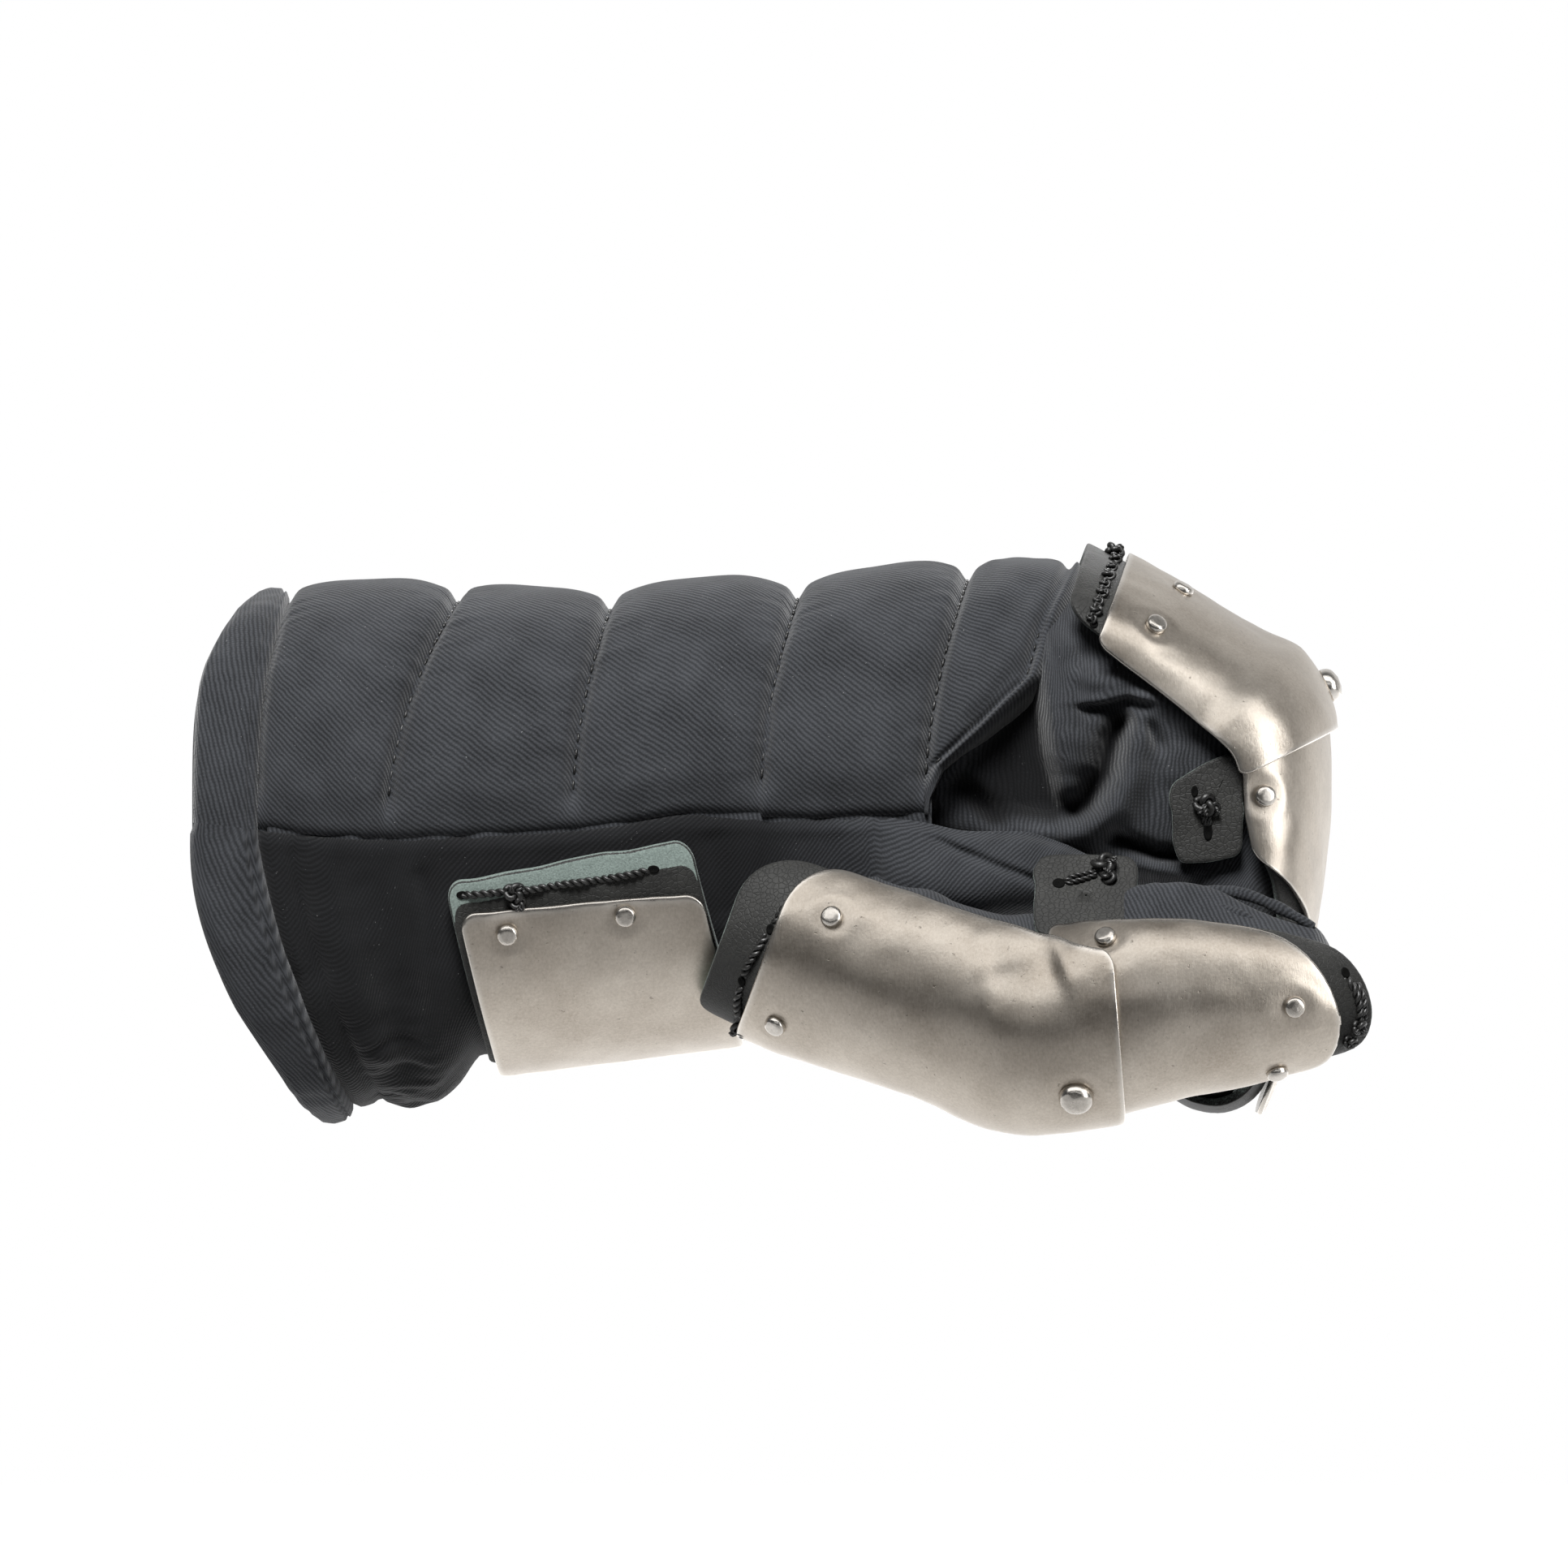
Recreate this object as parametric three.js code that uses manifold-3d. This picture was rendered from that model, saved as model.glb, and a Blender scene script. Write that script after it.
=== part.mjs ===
// A padded mitten gauntlet for the left hand, held in a loose fist: a quilted glove with
// five steel plates riveted to leather, which is laced onto the cloth.
// Millimetres. +X runs from the wrist to the knuckles, +Z is the back of the hand, and the
// thumb is on the -Y side. The origin is the middle of the wrist, inside the cuff.
import * as THREE from "three";
import { mergeVertices } from "three/addons/utils/BufferGeometryUtils.js";
import Module from "manifold-3d";

// ---- Driving dimensions ---------------------------------------------------------------

const GAP = 0.3; // between pieces that rest on each other
const PLATE_GAP = 0.6; // under a plate, whose flats don't match those of the leather
const STEEL = 1.2; // plate thickness
const LEATHER = 2.5;
const CLOTH = 3.0; // palm, thumb and finger walls: two cloths and a thin lining
const PADDING = 8.0; // back of the hand, between the quilting lines
const HEM = 4.5; // folded band at the opening
const SHANK_RADIUS = 1.4;
const CLOTH_SQUARE = 2.3; // 2 is an ellipse, and more is squarer

// The glove's body. `seam` is the height of the side seam, where the padded back starts,
// and `palm_edge` is where the palm cloth ends, which parts from the seam at the fingers.
const BODY = [
  { x: -93, top: 52.6, seam: 3.0, palm_edge: 3.0, bottom: -62.0, half_width: 50.0 },
  { x: -76, top: 52.8, seam: 1.2, palm_edge: 1.2, bottom: -62.5, half_width: 50.0 },
  { x: -58, top: 53.0, seam: -0.4, palm_edge: -0.4, bottom: -60.8, half_width: 49.4 },
  { x: -48, top: 53.1, seam: -0.5, palm_edge: -0.5, bottom: -57.6, half_width: 49.0 },
  { x: -40, top: 53.2, seam: -0.2, palm_edge: -0.2, bottom: -58.8, half_width: 48.6 },
  { x: -35, top: 53.2, seam: 0.0, palm_edge: 0.0, bottom: -54.6, half_width: 48.2 },
  { x: -30, top: 53.1, seam: 0.1, palm_edge: 0.1, bottom: -48.6, half_width: 47.8 },
  { x: -12, top: 51.9, seam: 1.0, palm_edge: 1.0, bottom: -46.2, half_width: 47.3 },
  { x: 0, top: 51.5, seam: 2.3, palm_edge: 2.3, bottom: -44.6, half_width: 47.0 },
  { x: 14, top: 52.1, seam: 4.7, palm_edge: 4.7, bottom: -42.8, half_width: 46.6 },
  { x: 27, top: 53.0, seam: 4.4, palm_edge: 4.4, bottom: -40.6, half_width: 46.5 },
  { x: 42, top: 54.1, seam: 3.8, palm_edge: 3.8, bottom: -33.0, half_width: 46.5 },
  { x: 56, top: 55.6, seam: 4.4, palm_edge: 4.4, bottom: -26.0, half_width: 46.5 },
  { x: 67, top: 57.1, seam: 4.6, palm_edge: 3.4, bottom: -22.6, half_width: 46.3 },
  { x: 76, top: 57.9, seam: 4.6, palm_edge: -3.2, bottom: -21.6, half_width: 46.0 },
  { x: 90, top: 58.8, seam: 4.6, palm_edge: -3.6, bottom: -20.0, half_width: 45.2 },
  { x: 98, top: 58.5, seam: 4.6, palm_edge: -3.6, bottom: -17.4, half_width: 44.8 },
  { x: 106, top: 57.2, seam: 4.6, palm_edge: -3.6, bottom: -12.0, half_width: 44.2 },
];

// Lines round the body, each leaning back from the top of the hand to the side seams and
// forward again under the palm. `bow` is how square the line turns on its way down.
const HEM_EDGE = { x_top: -80, x_seam: -92.4, x_bottom: -66, bow_top: 5, bow_bottom: 2.3 };
const HEM_SEAM = { x_top: -72.1, x_seam: -78.0, x_bottom: -58, bow_top: 3, bow_bottom: 1.4 };
const KNUCKLE_EDGE = { x_top: 102.6, x_seam: 68.2, x_bottom: 68.2, bow_top: 0.9, bow_bottom: 1 };
const PALM_END = { x_top: 84, x_seam: 105, x_bottom: 103, bow_top: 2, bow_bottom: 2 };

// Quilting lines of the padded back, and how far the channel before each one puffs up.
const QUILTING = [
  { ...HEM_SEAM, puff: 0 },
  { x_top: -34.8, x_seam: -50.0, bow_top: 2, puff: 3.2 },
  { x_top: -1.4, x_seam: -9.6, bow_top: 2, puff: 2.6 },
  { x_top: 39.8, x_seam: 31.6, bow_top: 2, puff: 4.3 },
  { x_top: 77.1, x_seam: 67.4, bow_top: 2, puff: 3.4 },
];
const KNUCKLE_PUFF = 1.8;
const PINCH = 1.1; // how far a quilting line pulls the cloth in

// The thumb, lying along the near side: its axis, the lean of its sections, and the radius
// of the leather round it.
const THUMB = [
  { x: 20, z: -15.6, y: -33.0, lean: 20, radius: 21.0 },
  { x: 34, z: -20.6, y: -38.5, lean: 20, radius: 22.5 },
  { x: 48.5, z: -25.6, y: -44.0, lean: 20, radius: 23.0 },
  { x: 64, z: -30.8, y: -49.5, lean: 19, radius: 22.8 },
  { x: 80, z: -36.2, y: -54.5, lean: 15, radius: 22.3 },
  { x: 92, z: -39.2, y: -57.5, lean: 8, radius: 21.9 },
  { x: 104, z: -38.4, y: -60.5, lean: -2, radius: 21.5 },
  { x: 116, z: -35.6, y: -62.0, lean: -7, radius: 21.2 },
  { x: 127.5, z: -34.2, y: -62.5, lean: -8, radius: 20.0 },
  { x: 138, z: -33.8, y: -62.5, lean: -8, radius: 18.1 },
  { x: 148, z: -33.6, y: -62.0, lean: -8, radius: 16.0 },
  { x: 157, z: -34.2, y: -61.0, lean: -6, radius: 13.6 },
  { x: 166, z: -35.2, y: -59.0, lean: -4, radius: 9.5 },
];

// The curled fingers as one wide arch: its crown and its side edges, seen from the side,
// where the leather lies. `square` is how flat the arch is across the hand.
const FINGERS = [
  { crown_x: 101.6, crown_z: 65.6, edge_x: 94.5, edge_z: 44.0, half_width: 45.5, square: 2.1 },
  { crown_x: 112.2, crown_z: 60.5, edge_x: 104.6, edge_z: 40.6, half_width: 46.0, square: 2.1 },
  { crown_x: 120.9, crown_z: 55.8, edge_x: 112.0, edge_z: 35.6, half_width: 46.3, square: 2.1 },
  { crown_x: 135.1, crown_z: 47.3, edge_x: 122.0, edge_z: 28.0, half_width: 46.5, square: 2.1 },
  { crown_x: 145.5, crown_z: 40.6, edge_x: 129.0, edge_z: 22.2, half_width: 46.5, square: 2.1 },
  { crown_x: 151.2, crown_z: 34.0, edge_x: 133.0, edge_z: 18.3, half_width: 46.5, square: 2.2 },
  { crown_x: 154.3, crown_z: 27.0, edge_x: 135.0, edge_z: 14.8, half_width: 46.3, square: 2.3 },
  { crown_x: 155.3, crown_z: 18.5, edge_x: 135.6, edge_z: 10.5, half_width: 46.0, square: 2.4 },
  { crown_x: 155.5, crown_z: 8.6, edge_x: 136.0, edge_z: 4.5, half_width: 45.5, square: 2.5 },
  { crown_x: 154.4, crown_z: -2.0, edge_x: 136.8, edge_z: -4.0, half_width: 45.0, square: 2.7 },
  { crown_x: 152.3, crown_z: -18.7, edge_x: 135.5, edge_z: -20.0, half_width: 44.0, square: 2.8 },
  { crown_x: 148.5, crown_z: -35.6, edge_x: 132.5, edge_z: -35.0, half_width: 42.5, square: 2.8 },
  { crown_x: 144.3, crown_z: -50.5, edge_x: 130.0, edge_z: -47.0, half_width: 41.0, square: 2.8 },
  { crown_x: 140.8, crown_z: -57.2, edge_x: 129.0, edge_z: -49.5, half_width: 40.0, square: 2.7 },
  { crown_x: 134.5, crown_z: -60.9, edge_x: 127.5, edge_z: -50.5, half_width: 39.0, square: 2.6 },
  { crown_x: 127.5, crown_z: -60.6, edge_x: 125.5, edge_z: -50.5, half_width: 38.5, square: 2.5 },
  { crown_x: 121.0, crown_z: -57.2, edge_x: 122.5, edge_z: -50.0, half_width: 38.0, square: 2.5 },
];

// The fingertip plate runs straight on where the leather turns in under the fingertips.
const FINGERTIP_START = 4;
const FINGERTIP = [
  ...FINGERS.slice(FINGERTIP_START, 13),
  { crown_x: 140.2, crown_z: -61.0, edge_x: 126.5, edge_z: -57.0, half_width: 40.5, square: 2.8 },
];

// The cloth pocket that the fingers fill, from inside the palm to its closed end.
const POCKET = [
  { crown_x: 84.0, crown_z: 50.0, sole_x: 63.0, sole_z: -1.0, half_width: 41.0 },
  { crown_x: 94.0, crown_z: 54.0, sole_x: 80.0, sole_z: -7.0, half_width: 42.6 },
  { crown_x: 104.0, crown_z: 56.4, sole_x: 94.0, sole_z: -10.0, half_width: 43.0 },
  { crown_x: 113.0, crown_z: 54.6, sole_x: 103.0, sole_z: -10.5, half_width: 43.0 },
  { crown_x: 121.0, crown_z: 50.8, sole_x: 109.5, sole_z: -9.5, half_width: 43.0 },
  { crown_x: 133.8, crown_z: 42.6, sole_x: 114.0, sole_z: -9.0, half_width: 42.8 },
  { crown_x: 143.0, crown_z: 36.0, sole_x: 117.0, sole_z: -10.0, half_width: 42.8 },
  { crown_x: 148.6, crown_z: 29.5, sole_x: 119.0, sole_z: -12.0, half_width: 42.6 },
  { crown_x: 151.0, crown_z: 20.0, sole_x: 120.3, sole_z: -15.0, half_width: 42.4 },
  { crown_x: 151.6, crown_z: 8.6, sole_x: 121.0, sole_z: -19.0, half_width: 42.0 },
  { crown_x: 150.6, crown_z: -3.0, sole_x: 121.2, sole_z: -24.0, half_width: 41.4 },
  { crown_x: 148.4, crown_z: -19.5, sole_x: 120.8, sole_z: -32.0, half_width: 40.4 },
  { crown_x: 144.6, crown_z: -35.0, sole_x: 119.6, sole_z: -40.0, half_width: 39.0 },
  { crown_x: 140.8, crown_z: -47.0, sole_x: 120.4, sole_z: -48.4, half_width: 37.0 },
  { crown_x: 136.8, crown_z: -53.4, sole_x: 124.0, sole_z: -53.0, half_width: 32.0 },
];
const POCKET_TIP = [130.5, 0, -55.6];
const POCKET_SQUARE = 2.5;

// Folds pushed up in the side of the finger pocket as the hand closes. Each runs between
// two places on the side, and `rise` is out from the cloth, or into it when negative.
const FOLDS = [
  { x0: 94, z0: 38, x1: 94, z1: 2, width: 4.5, rise: -4.5 },
  { x0: 82, z0: 22, x1: 76, z1: 4, width: 5.0, rise: -2.5 },
  { x0: 102, z0: 34, x1: 101, z1: 14, width: 4.5, rise: 1.6 },
  { x0: 110.5, z0: 30, x1: 109, z1: 10, width: 3.5, rise: 1.8 },
  { x0: 106, z0: 5, x1: 96, z1: 1, width: 3.5, rise: 1.5 },
  { x0: 117, z0: 24, x1: 116, z1: 6, width: 3.5, rise: -2.5 },
];

// ---- Tables and curves ----------------------------------------------------------------

const radians = (degrees) => (degrees * Math.PI) / 180;
const mix = (a, b, t) => a + (b - a) * t;
const range = (count) => Array.from({ length: count }, (_, i) => i);
const power = (value, exponent) => Math.sign(value) * Math.abs(value) ** exponent;

const smoothStep = (from, to, value) => {
  const t = Math.min(1, Math.max(0, (value - from) / (to - from)));
  return t * t * (3 - 2 * t);
};

// A smooth curve through four values, at t between the second and the third.
function curve(a, b, c, d, t) {
  const rise = (c - a) / 2;
  const fall = (d - b) / 2;
  const cubic = 2 * b - 2 * c + rise + fall;
  const square = -3 * b + 3 * c - 2 * rise - fall;
  return ((cubic * t + square) * t + rise) * t + b;
}

// One named column of a table at a place along its rows, 0 at the first row.
function column(rows, name, place) {
  const last = rows.length - 1;
  const k = Math.min(last - 1, Math.max(0, Math.floor(place)));
  const row = (i) => rows[Math.min(last, Math.max(0, i))][name];
  return curve(row(k - 1), row(k), row(k + 1), row(k + 2), place - k);
}

// The place along a table whose rows are in order of x.
function placeOfX(rows, x) {
  const last = rows.length - 1;
  let k = 0;
  while (k < last - 1 && rows[k + 1].x < x) k += 1;
  const t = (x - rows[k].x) / (rows[k + 1].x - rows[k].x);
  return k + Math.min(1, Math.max(0, t));
}

// ---- Skins: a point for a place along the form, an angle round it and a height above it

// Round the body the angle is 0 at the thumb-side seam, 90 on top, 180 at the far seam and
// 270 under the palm.
function bodySkin(line, angle, out, form = BODY) {
  const sine = power(Math.sin(radians(angle)), 2 / CLOTH_SQUARE);
  const cosine = power(Math.cos(radians(angle)), 2 / CLOTH_SQUARE);
  const upper = sine >= 0;
  const end = upper ? line.x_top : line.x_bottom;
  const bow = upper ? line.bow_top : line.bow_bottom;
  const x = mix(end, line.x_seam, 1 - Math.abs(sine) ** bow);
  const place = placeOfX(form, x);
  const base = column(form, upper ? "seam" : "palm_edge", place);
  const reach = Math.abs(column(form, upper ? "top" : "bottom", place) - base) + out;
  const wide = column(form, "half_width", place) + out;
  return [x, -wide * cosine, base + reach * sine];
}

// Round the thumb the angle is 0 towards -Y, 90 on top and -90 below.
function thumbSkin(place, angle, out) {
  const lean = radians(column(THUMB, "lean", place));
  const radius = column(THUMB, "radius", place) + out;
  const up = radius * Math.sin(radians(angle));
  return [
    column(THUMB, "x", place) + up * Math.sin(lean),
    column(THUMB, "y", place) - radius * Math.cos(radians(angle)),
    column(THUMB, "z", place) + up * Math.cos(lean),
  ];
}

// Across the fingers the angle is 0 on the crown, -90 at the thumb-side edge and 90 at the
// far edge.
function archSkin(rows, place, angle, out) {
  const at = (name) => column(rows, name, place);
  const exponent = 2 / at("square");
  const deep = [at("crown_x") - at("edge_x"), at("crown_z") - at("edge_z")];
  const depth = Math.hypot(...deep);
  const lift = ((depth + out) / depth) * power(Math.cos(radians(angle)), exponent);
  const wide = (at("half_width") + out) * power(Math.sin(radians(angle)), exponent);
  return [at("edge_x") + deep[0] * lift, wide, at("edge_z") + deep[1] * lift];
}
const fingerSkin = (place, angle, out) => archSkin(FINGERS, place, angle, out);
const fingertipSkin = (place, angle, out) =>
  archSkin(FINGERTIP, place - FINGERTIP_START, angle, out);

// How far the folds lift the pocket's side at a point of it.
function foldLift(x, z) {
  let lift = 0;
  for (const fold of FOLDS) {
    const run = [fold.x1 - fold.x0, fold.z1 - fold.z0];
    const along = ((x - fold.x0) * run[0] + (z - fold.z0) * run[1]) / Math.hypot(...run) ** 2;
    const t = Math.min(1, Math.max(0, along));
    const away = Math.hypot(x - fold.x0 - run[0] * t, z - fold.z0 - run[1] * t);
    lift += fold.rise * Math.exp(-((away / fold.width) ** 2));
  }
  return lift;
}

// Round the pocket the angle is 0 on the crown, -90 on the thumb side and 180 on the sole.
function pocketSkin(place, angle, out) {
  const at = (name) => column(POCKET, name, place);
  const middle = [(at("crown_x") + at("sole_x")) / 2, (at("crown_z") + at("sole_z")) / 2];
  const half = [at("crown_x") - middle[0], at("crown_z") - middle[1]];
  const depth = Math.hypot(...half);
  const cosine = power(Math.cos(radians(angle)), 2 / POCKET_SQUARE);
  const sine = power(Math.sin(radians(angle)), 2 / POCKET_SQUARE);
  const lift = ((depth + out) / depth) * cosine;
  const x = middle[0] + half[0] * lift;
  const z = middle[1] + half[1] * lift;
  const side = at("half_width") + out + foldLift(x, z) * Math.abs(sine) ** 4;
  return [x, side * sine, z];
}

// The thumb stall inside the leather. Its root turns in to the palm, its finger side is
// flatter, and its seam stands up as a fold along the top, from `start` on.
const STALL_ROOT = { turn: 15, from: 0.9, to: 3.0 };
const STALL_FLAT = 0.3;
const STALL_FOLD = { angle: 102, width: 20, rise: 4, start: 6.6 };
function stallSkin(place, angle, out) {
  const radius = column(THUMB, "radius", place);
  const inner = -LEATHER - PLATE_GAP - GAP + out;
  const towardsFingers = Math.max(0, -Math.cos(radians(angle)));
  const begun = Math.min(1, Math.max(0, place - STALL_FOLD.start));
  const fold = begun * Math.exp(-(((angle - STALL_FOLD.angle) / STALL_FOLD.width) ** 2));
  const skin = thumbSkin(place, angle, inner + STALL_FOLD.rise * fold);
  skin[1] -= towardsFingers * (radius + inner) * STALL_FLAT;
  skin[1] += STALL_ROOT.turn * (1 - smoothStep(STALL_ROOT.from, STALL_ROOT.to, place));
  return skin;
}

// ---- Closed meshes from grids of points ------------------------------------------------

function meshOf(points, faces) {
  const geometry = new THREE.BufferGeometry();
  geometry.setAttribute("position", new THREE.Float32BufferAttribute(points.flat(), 3));
  geometry.setIndex(faces.flat());
  return geometry;
}

// A wall between an outer and an inner grid. Rows run along the form, and each row runs
// round it: closed rows join end to start, and open rows get an edge on either side. The
// two ends are open rims, or the far end closes on a tip point for each grid.
function wall(outer, inner, { closed = false, tips = null } = {}) {
  const rows = outer.length;
  const across = outer[0].length;
  const points = [...outer.flat(), ...inner.flat()];
  const faces = [];
  const out = (i, j) => i * across + (j % across);
  const into = (i, j) => rows * across + out(i, j);
  const quad = (a, b, c, d) => faces.push([a, b, c], [a, c, d]);
  const spans = closed ? across : across - 1;
  for (let i = 0; i < rows - 1; i += 1)
    for (let j = 0; j < spans; j += 1) {
      quad(out(i, j), out(i, j + 1), out(i + 1, j + 1), out(i + 1, j));
      quad(into(i, j), into(i + 1, j), into(i + 1, j + 1), into(i, j + 1));
    }
  for (let j = 0; j < spans; j += 1)
    quad(out(0, j), into(0, j), into(0, j + 1), out(0, j + 1));
  const end = rows - 1;
  if (tips) {
    points.push(...tips);
    const tip = points.length - 2;
    for (let j = 0; j < spans; j += 1) {
      faces.push([out(end, j), out(end, j + 1), tip]);
      faces.push([into(end, j + 1), into(end, j), tip + 1]);
    }
  } else
    for (let j = 0; j < spans; j += 1)
      quad(out(end, j), out(end, j + 1), into(end, j + 1), into(end, j));
  if (!closed)
    for (let i = 0; i < end; i += 1) {
      quad(out(i, 0), out(i + 1, 0), into(i + 1, 0), into(i, 0));
      quad(out(i, across - 1), into(i, across - 1), into(i + 1, across - 1), out(i + 1, across - 1));
    }
  return meshOf(points, faces);
}

// The solid inside a grid whose rows close on themselves, with a fan over either end.
function core(grid) {
  const rows = grid.length;
  const across = grid[0].length;
  const middle = (row) => [0, 1, 2].map((k) => row.reduce((sum, p) => sum + p[k], 0) / across);
  const points = [...grid.flat(), middle(grid[0]), middle(grid[rows - 1])];
  const faces = [];
  const at = (i, j) => i * across + (j % across);
  for (let i = 0; i < rows - 1; i += 1)
    for (let j = 0; j < across; j += 1) {
      faces.push([at(i, j), at(i, j + 1), at(i + 1, j + 1)]);
      faces.push([at(i, j), at(i + 1, j + 1), at(i + 1, j)]);
    }
  for (let j = 0; j < across; j += 1) {
    faces.push([at(0, j + 1), at(0, j), rows * across]);
    faces.push([at(rows - 1, j), at(rows - 1, j + 1), rows * across + 1]);
  }
  return meshOf(points, faces);
}

// ---- Booleans -------------------------------------------------------------------------

const wasm = await Module();
wasm.setup();

const MERGE_DISTANCE = 1e-4;

// A solid from a closed mesh, with its faces turned out if they point in.
function solidOf(geometry) {
  const plain = geometry.clone();
  plain.deleteAttribute("normal");
  plain.deleteAttribute("uv");
  const merged = mergeVertices(plain, MERGE_DISTANCE);
  const solid = (triVerts) =>
    new wasm.Manifold(
      new wasm.Mesh({
        numProp: 3,
        vertProperties: new Float32Array(merged.attributes.position.array),
        triVerts,
      }),
    );
  const triangles = new Uint32Array(merged.index.array);
  const made = solid(triangles);
  return made.volume() >= 0 ? made : solid(triangles.reverse());
}

// The largest body of a solid: a cut can leave a crumb at a corner, which isn't wanted.
function mainBody(solid) {
  const bodies = solid.decompose();
  return bodies.reduce((best, body) => (body.volume() > best.volume() ? body : best));
}

function geometryOf(solid) {
  const { vertProperties, triVerts } = solid.getMesh();
  const geometry = new THREE.BufferGeometry();
  geometry.setAttribute("position", new THREE.BufferAttribute(new Float32Array(vertProperties), 3));
  geometry.setIndex(new THREE.BufferAttribute(new Uint32Array(triVerts), 1));
  return geometry;
}

// ---- Materials and the list of pieces ---------------------------------------------------

const cloth = { color: 0x26282c, roughness: 0.95, metalness: 0 };
const leather = { color: 0x2f302d, roughness: 0.75, metalness: 0 };
const steel = { color: 0xb0a79b, roughness: 0.42, metalness: 1 };
const bright = { color: 0xc2bcb2, roughness: 0.3, metalness: 1 };

const gauntlet = new THREE.Group();
const solids = {};
const finishes = {};

function piece(name, finish, geometry) {
  solids[name] = solidOf(geometry);
  finishes[name] = finish;
}

// ---- Cloth ------------------------------------------------------------------------------

// Where a line lies between two others, with t from 0 to 1.
function between(a, b, t) {
  const line = {};
  for (const name of ["x_top", "x_seam", "x_bottom", "bow_top", "bow_bottom"])
    line[name] = mix(a[name] ?? 0, b[name] ?? 0, t);
  return line;
}

const SEAM_CLEARANCE = 0.12; // degrees from the seam to the edge of either cloth
const BACK_COLUMNS = 12;
const backAngles = range(BACK_COLUMNS + 1).map((j) =>
  mix(SEAM_CLEARANCE, 180 - SEAM_CLEARANCE, j / BACK_COLUMNS),
);

const SIDE_PUFF = 0.55; // of the puff on top, down at the side seams
const CHANNEL_ROWS = 5;
const KNUCKLE_ROWS = 4;

// A stretch of padding from one line to the next, puffed between them.
function paddedRows(from, to, puff, steps, first) {
  const rows = [];
  for (let i = first; i <= steps; i += 1) {
    const t = i / steps;
    const line = between(from, to, t);
    const crown = 1 - Math.abs(2 * t - 1) ** 3;
    const height = (angle) => puff * crown * mix(SIDE_PUFF, 1, Math.sin(radians(angle)));
    const pinch = PINCH * (1 - crown);
    rows.push({
      outer: backAngles.map((angle) => bodySkin(line, angle, height(angle) - pinch)),
      inner: backAngles.map((angle) => bodySkin(line, angle, -PADDING)),
    });
  }
  return rows;
}

function paddedShell(rows) {
  return wall(rows.map((row) => row.outer), rows.map((row) => row.inner));
}

function makeBack() {
  const start = { ...HEM_SEAM, x_top: HEM_SEAM.x_top + GAP, x_seam: HEM_SEAM.x_seam + GAP };
  const lines = [start, ...QUILTING.slice(1)];
  const rows = [];
  for (const [k, line] of lines.slice(1).entries())
    rows.push(...paddedRows(lines[k], line, line.puff, CHANNEL_ROWS, k === 0 ? 0 : 1));
  piece("back_pad", cloth, paddedShell(rows));

  const last = lines[lines.length - 1];
  const next = { ...last, x_top: last.x_top + GAP, x_seam: last.x_seam + GAP };
  const knuckleRows = paddedRows(next, KNUCKLE_EDGE, KNUCKLE_PUFF, KNUCKLE_ROWS, 0);
  piece("knuckle_pad", cloth, paddedShell(knuckleRows));
}

// The folded band at the opening: how full it is at a share of its width.
const HEM_SECTION = [
  { share: 0, swell: -1.2 },
  { share: 0.12, swell: 0.9 },
  { share: 0.5, swell: 1.6 },
  { share: 0.88, swell: 0.9 },
  { share: 1, swell: -0.8 },
];
const HEM_COLUMNS = 24;

function makeHem() {
  const angles = range(HEM_COLUMNS).map((j) => (360 * j) / HEM_COLUMNS);
  const rows = (out) =>
    HEM_SECTION.map((section) => {
      const line = between(HEM_EDGE, HEM_SEAM, section.share);
      return angles.map((angle) => bodySkin(line, angle, out(section)));
    });
  const outer = rows((section) => section.swell);
  piece("cuff_hem", cloth, wall(outer, rows(() => -HEM), { closed: true }));
}

// The palm cloth, with the gathered casing behind the hem: how far forward of the hem's
// seam it is, how wide, and how far it and its gathers stand out.
const CASING = { middle: 13, width: 11, swell: 1.4, ruffle: 0.8, ruffles: 9 };
const PALM_COLUMNS = 14;
const PALM_ROWS = 16;
const PALM_CROWDING = 1.1; // rows lie a little closer together at the hem

function palmRows(out) {
  const from = { ...HEM_SEAM, x_seam: HEM_SEAM.x_seam + GAP, x_bottom: HEM_SEAM.x_bottom + GAP };
  return range(PALM_ROWS + 1).map((i) => {
    const line = between(from, PALM_END, (i / PALM_ROWS) ** PALM_CROWDING);
    return range(PALM_COLUMNS + 1).map((j) => {
      const angle = mix(180 + SEAM_CLEARANCE, 360 - SEAM_CLEARANCE, j / PALM_COLUMNS);
      const forward = bodySkin(line, angle, out)[0] - HEM_SEAM.x_bottom;
      const casing = Math.exp(-(((forward - CASING.middle) / (CASING.width / 2)) ** 2));
      const under = Math.max(0, -Math.sin(radians(angle))) ** 2;
      const ruffle = Math.sin((CASING.ruffles * Math.PI * j) / PALM_COLUMNS) * CASING.ruffle;
      return bodySkin(line, angle, out + casing * under * (CASING.swell + ruffle));
    });
  });
}

function makePalm() {
  piece("palm_panel", cloth, wall(palmRows(0), palmRows(-CLOTH)));
}

// Solids that fill the body above and below the seams, to cut the pocket and the stall by.
// Each is the whole inside, joined with a slab that reaches a little past the walls.
const CORE_COLUMNS = 14;
const CORE_ROWS = 12;
const CORE_OVER_PAD = 2.3; // past the padded back
const CORE_OVER_PALM = 0.9; // past the palm cloth
const CORE_PAST_END = 0.9;

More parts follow.
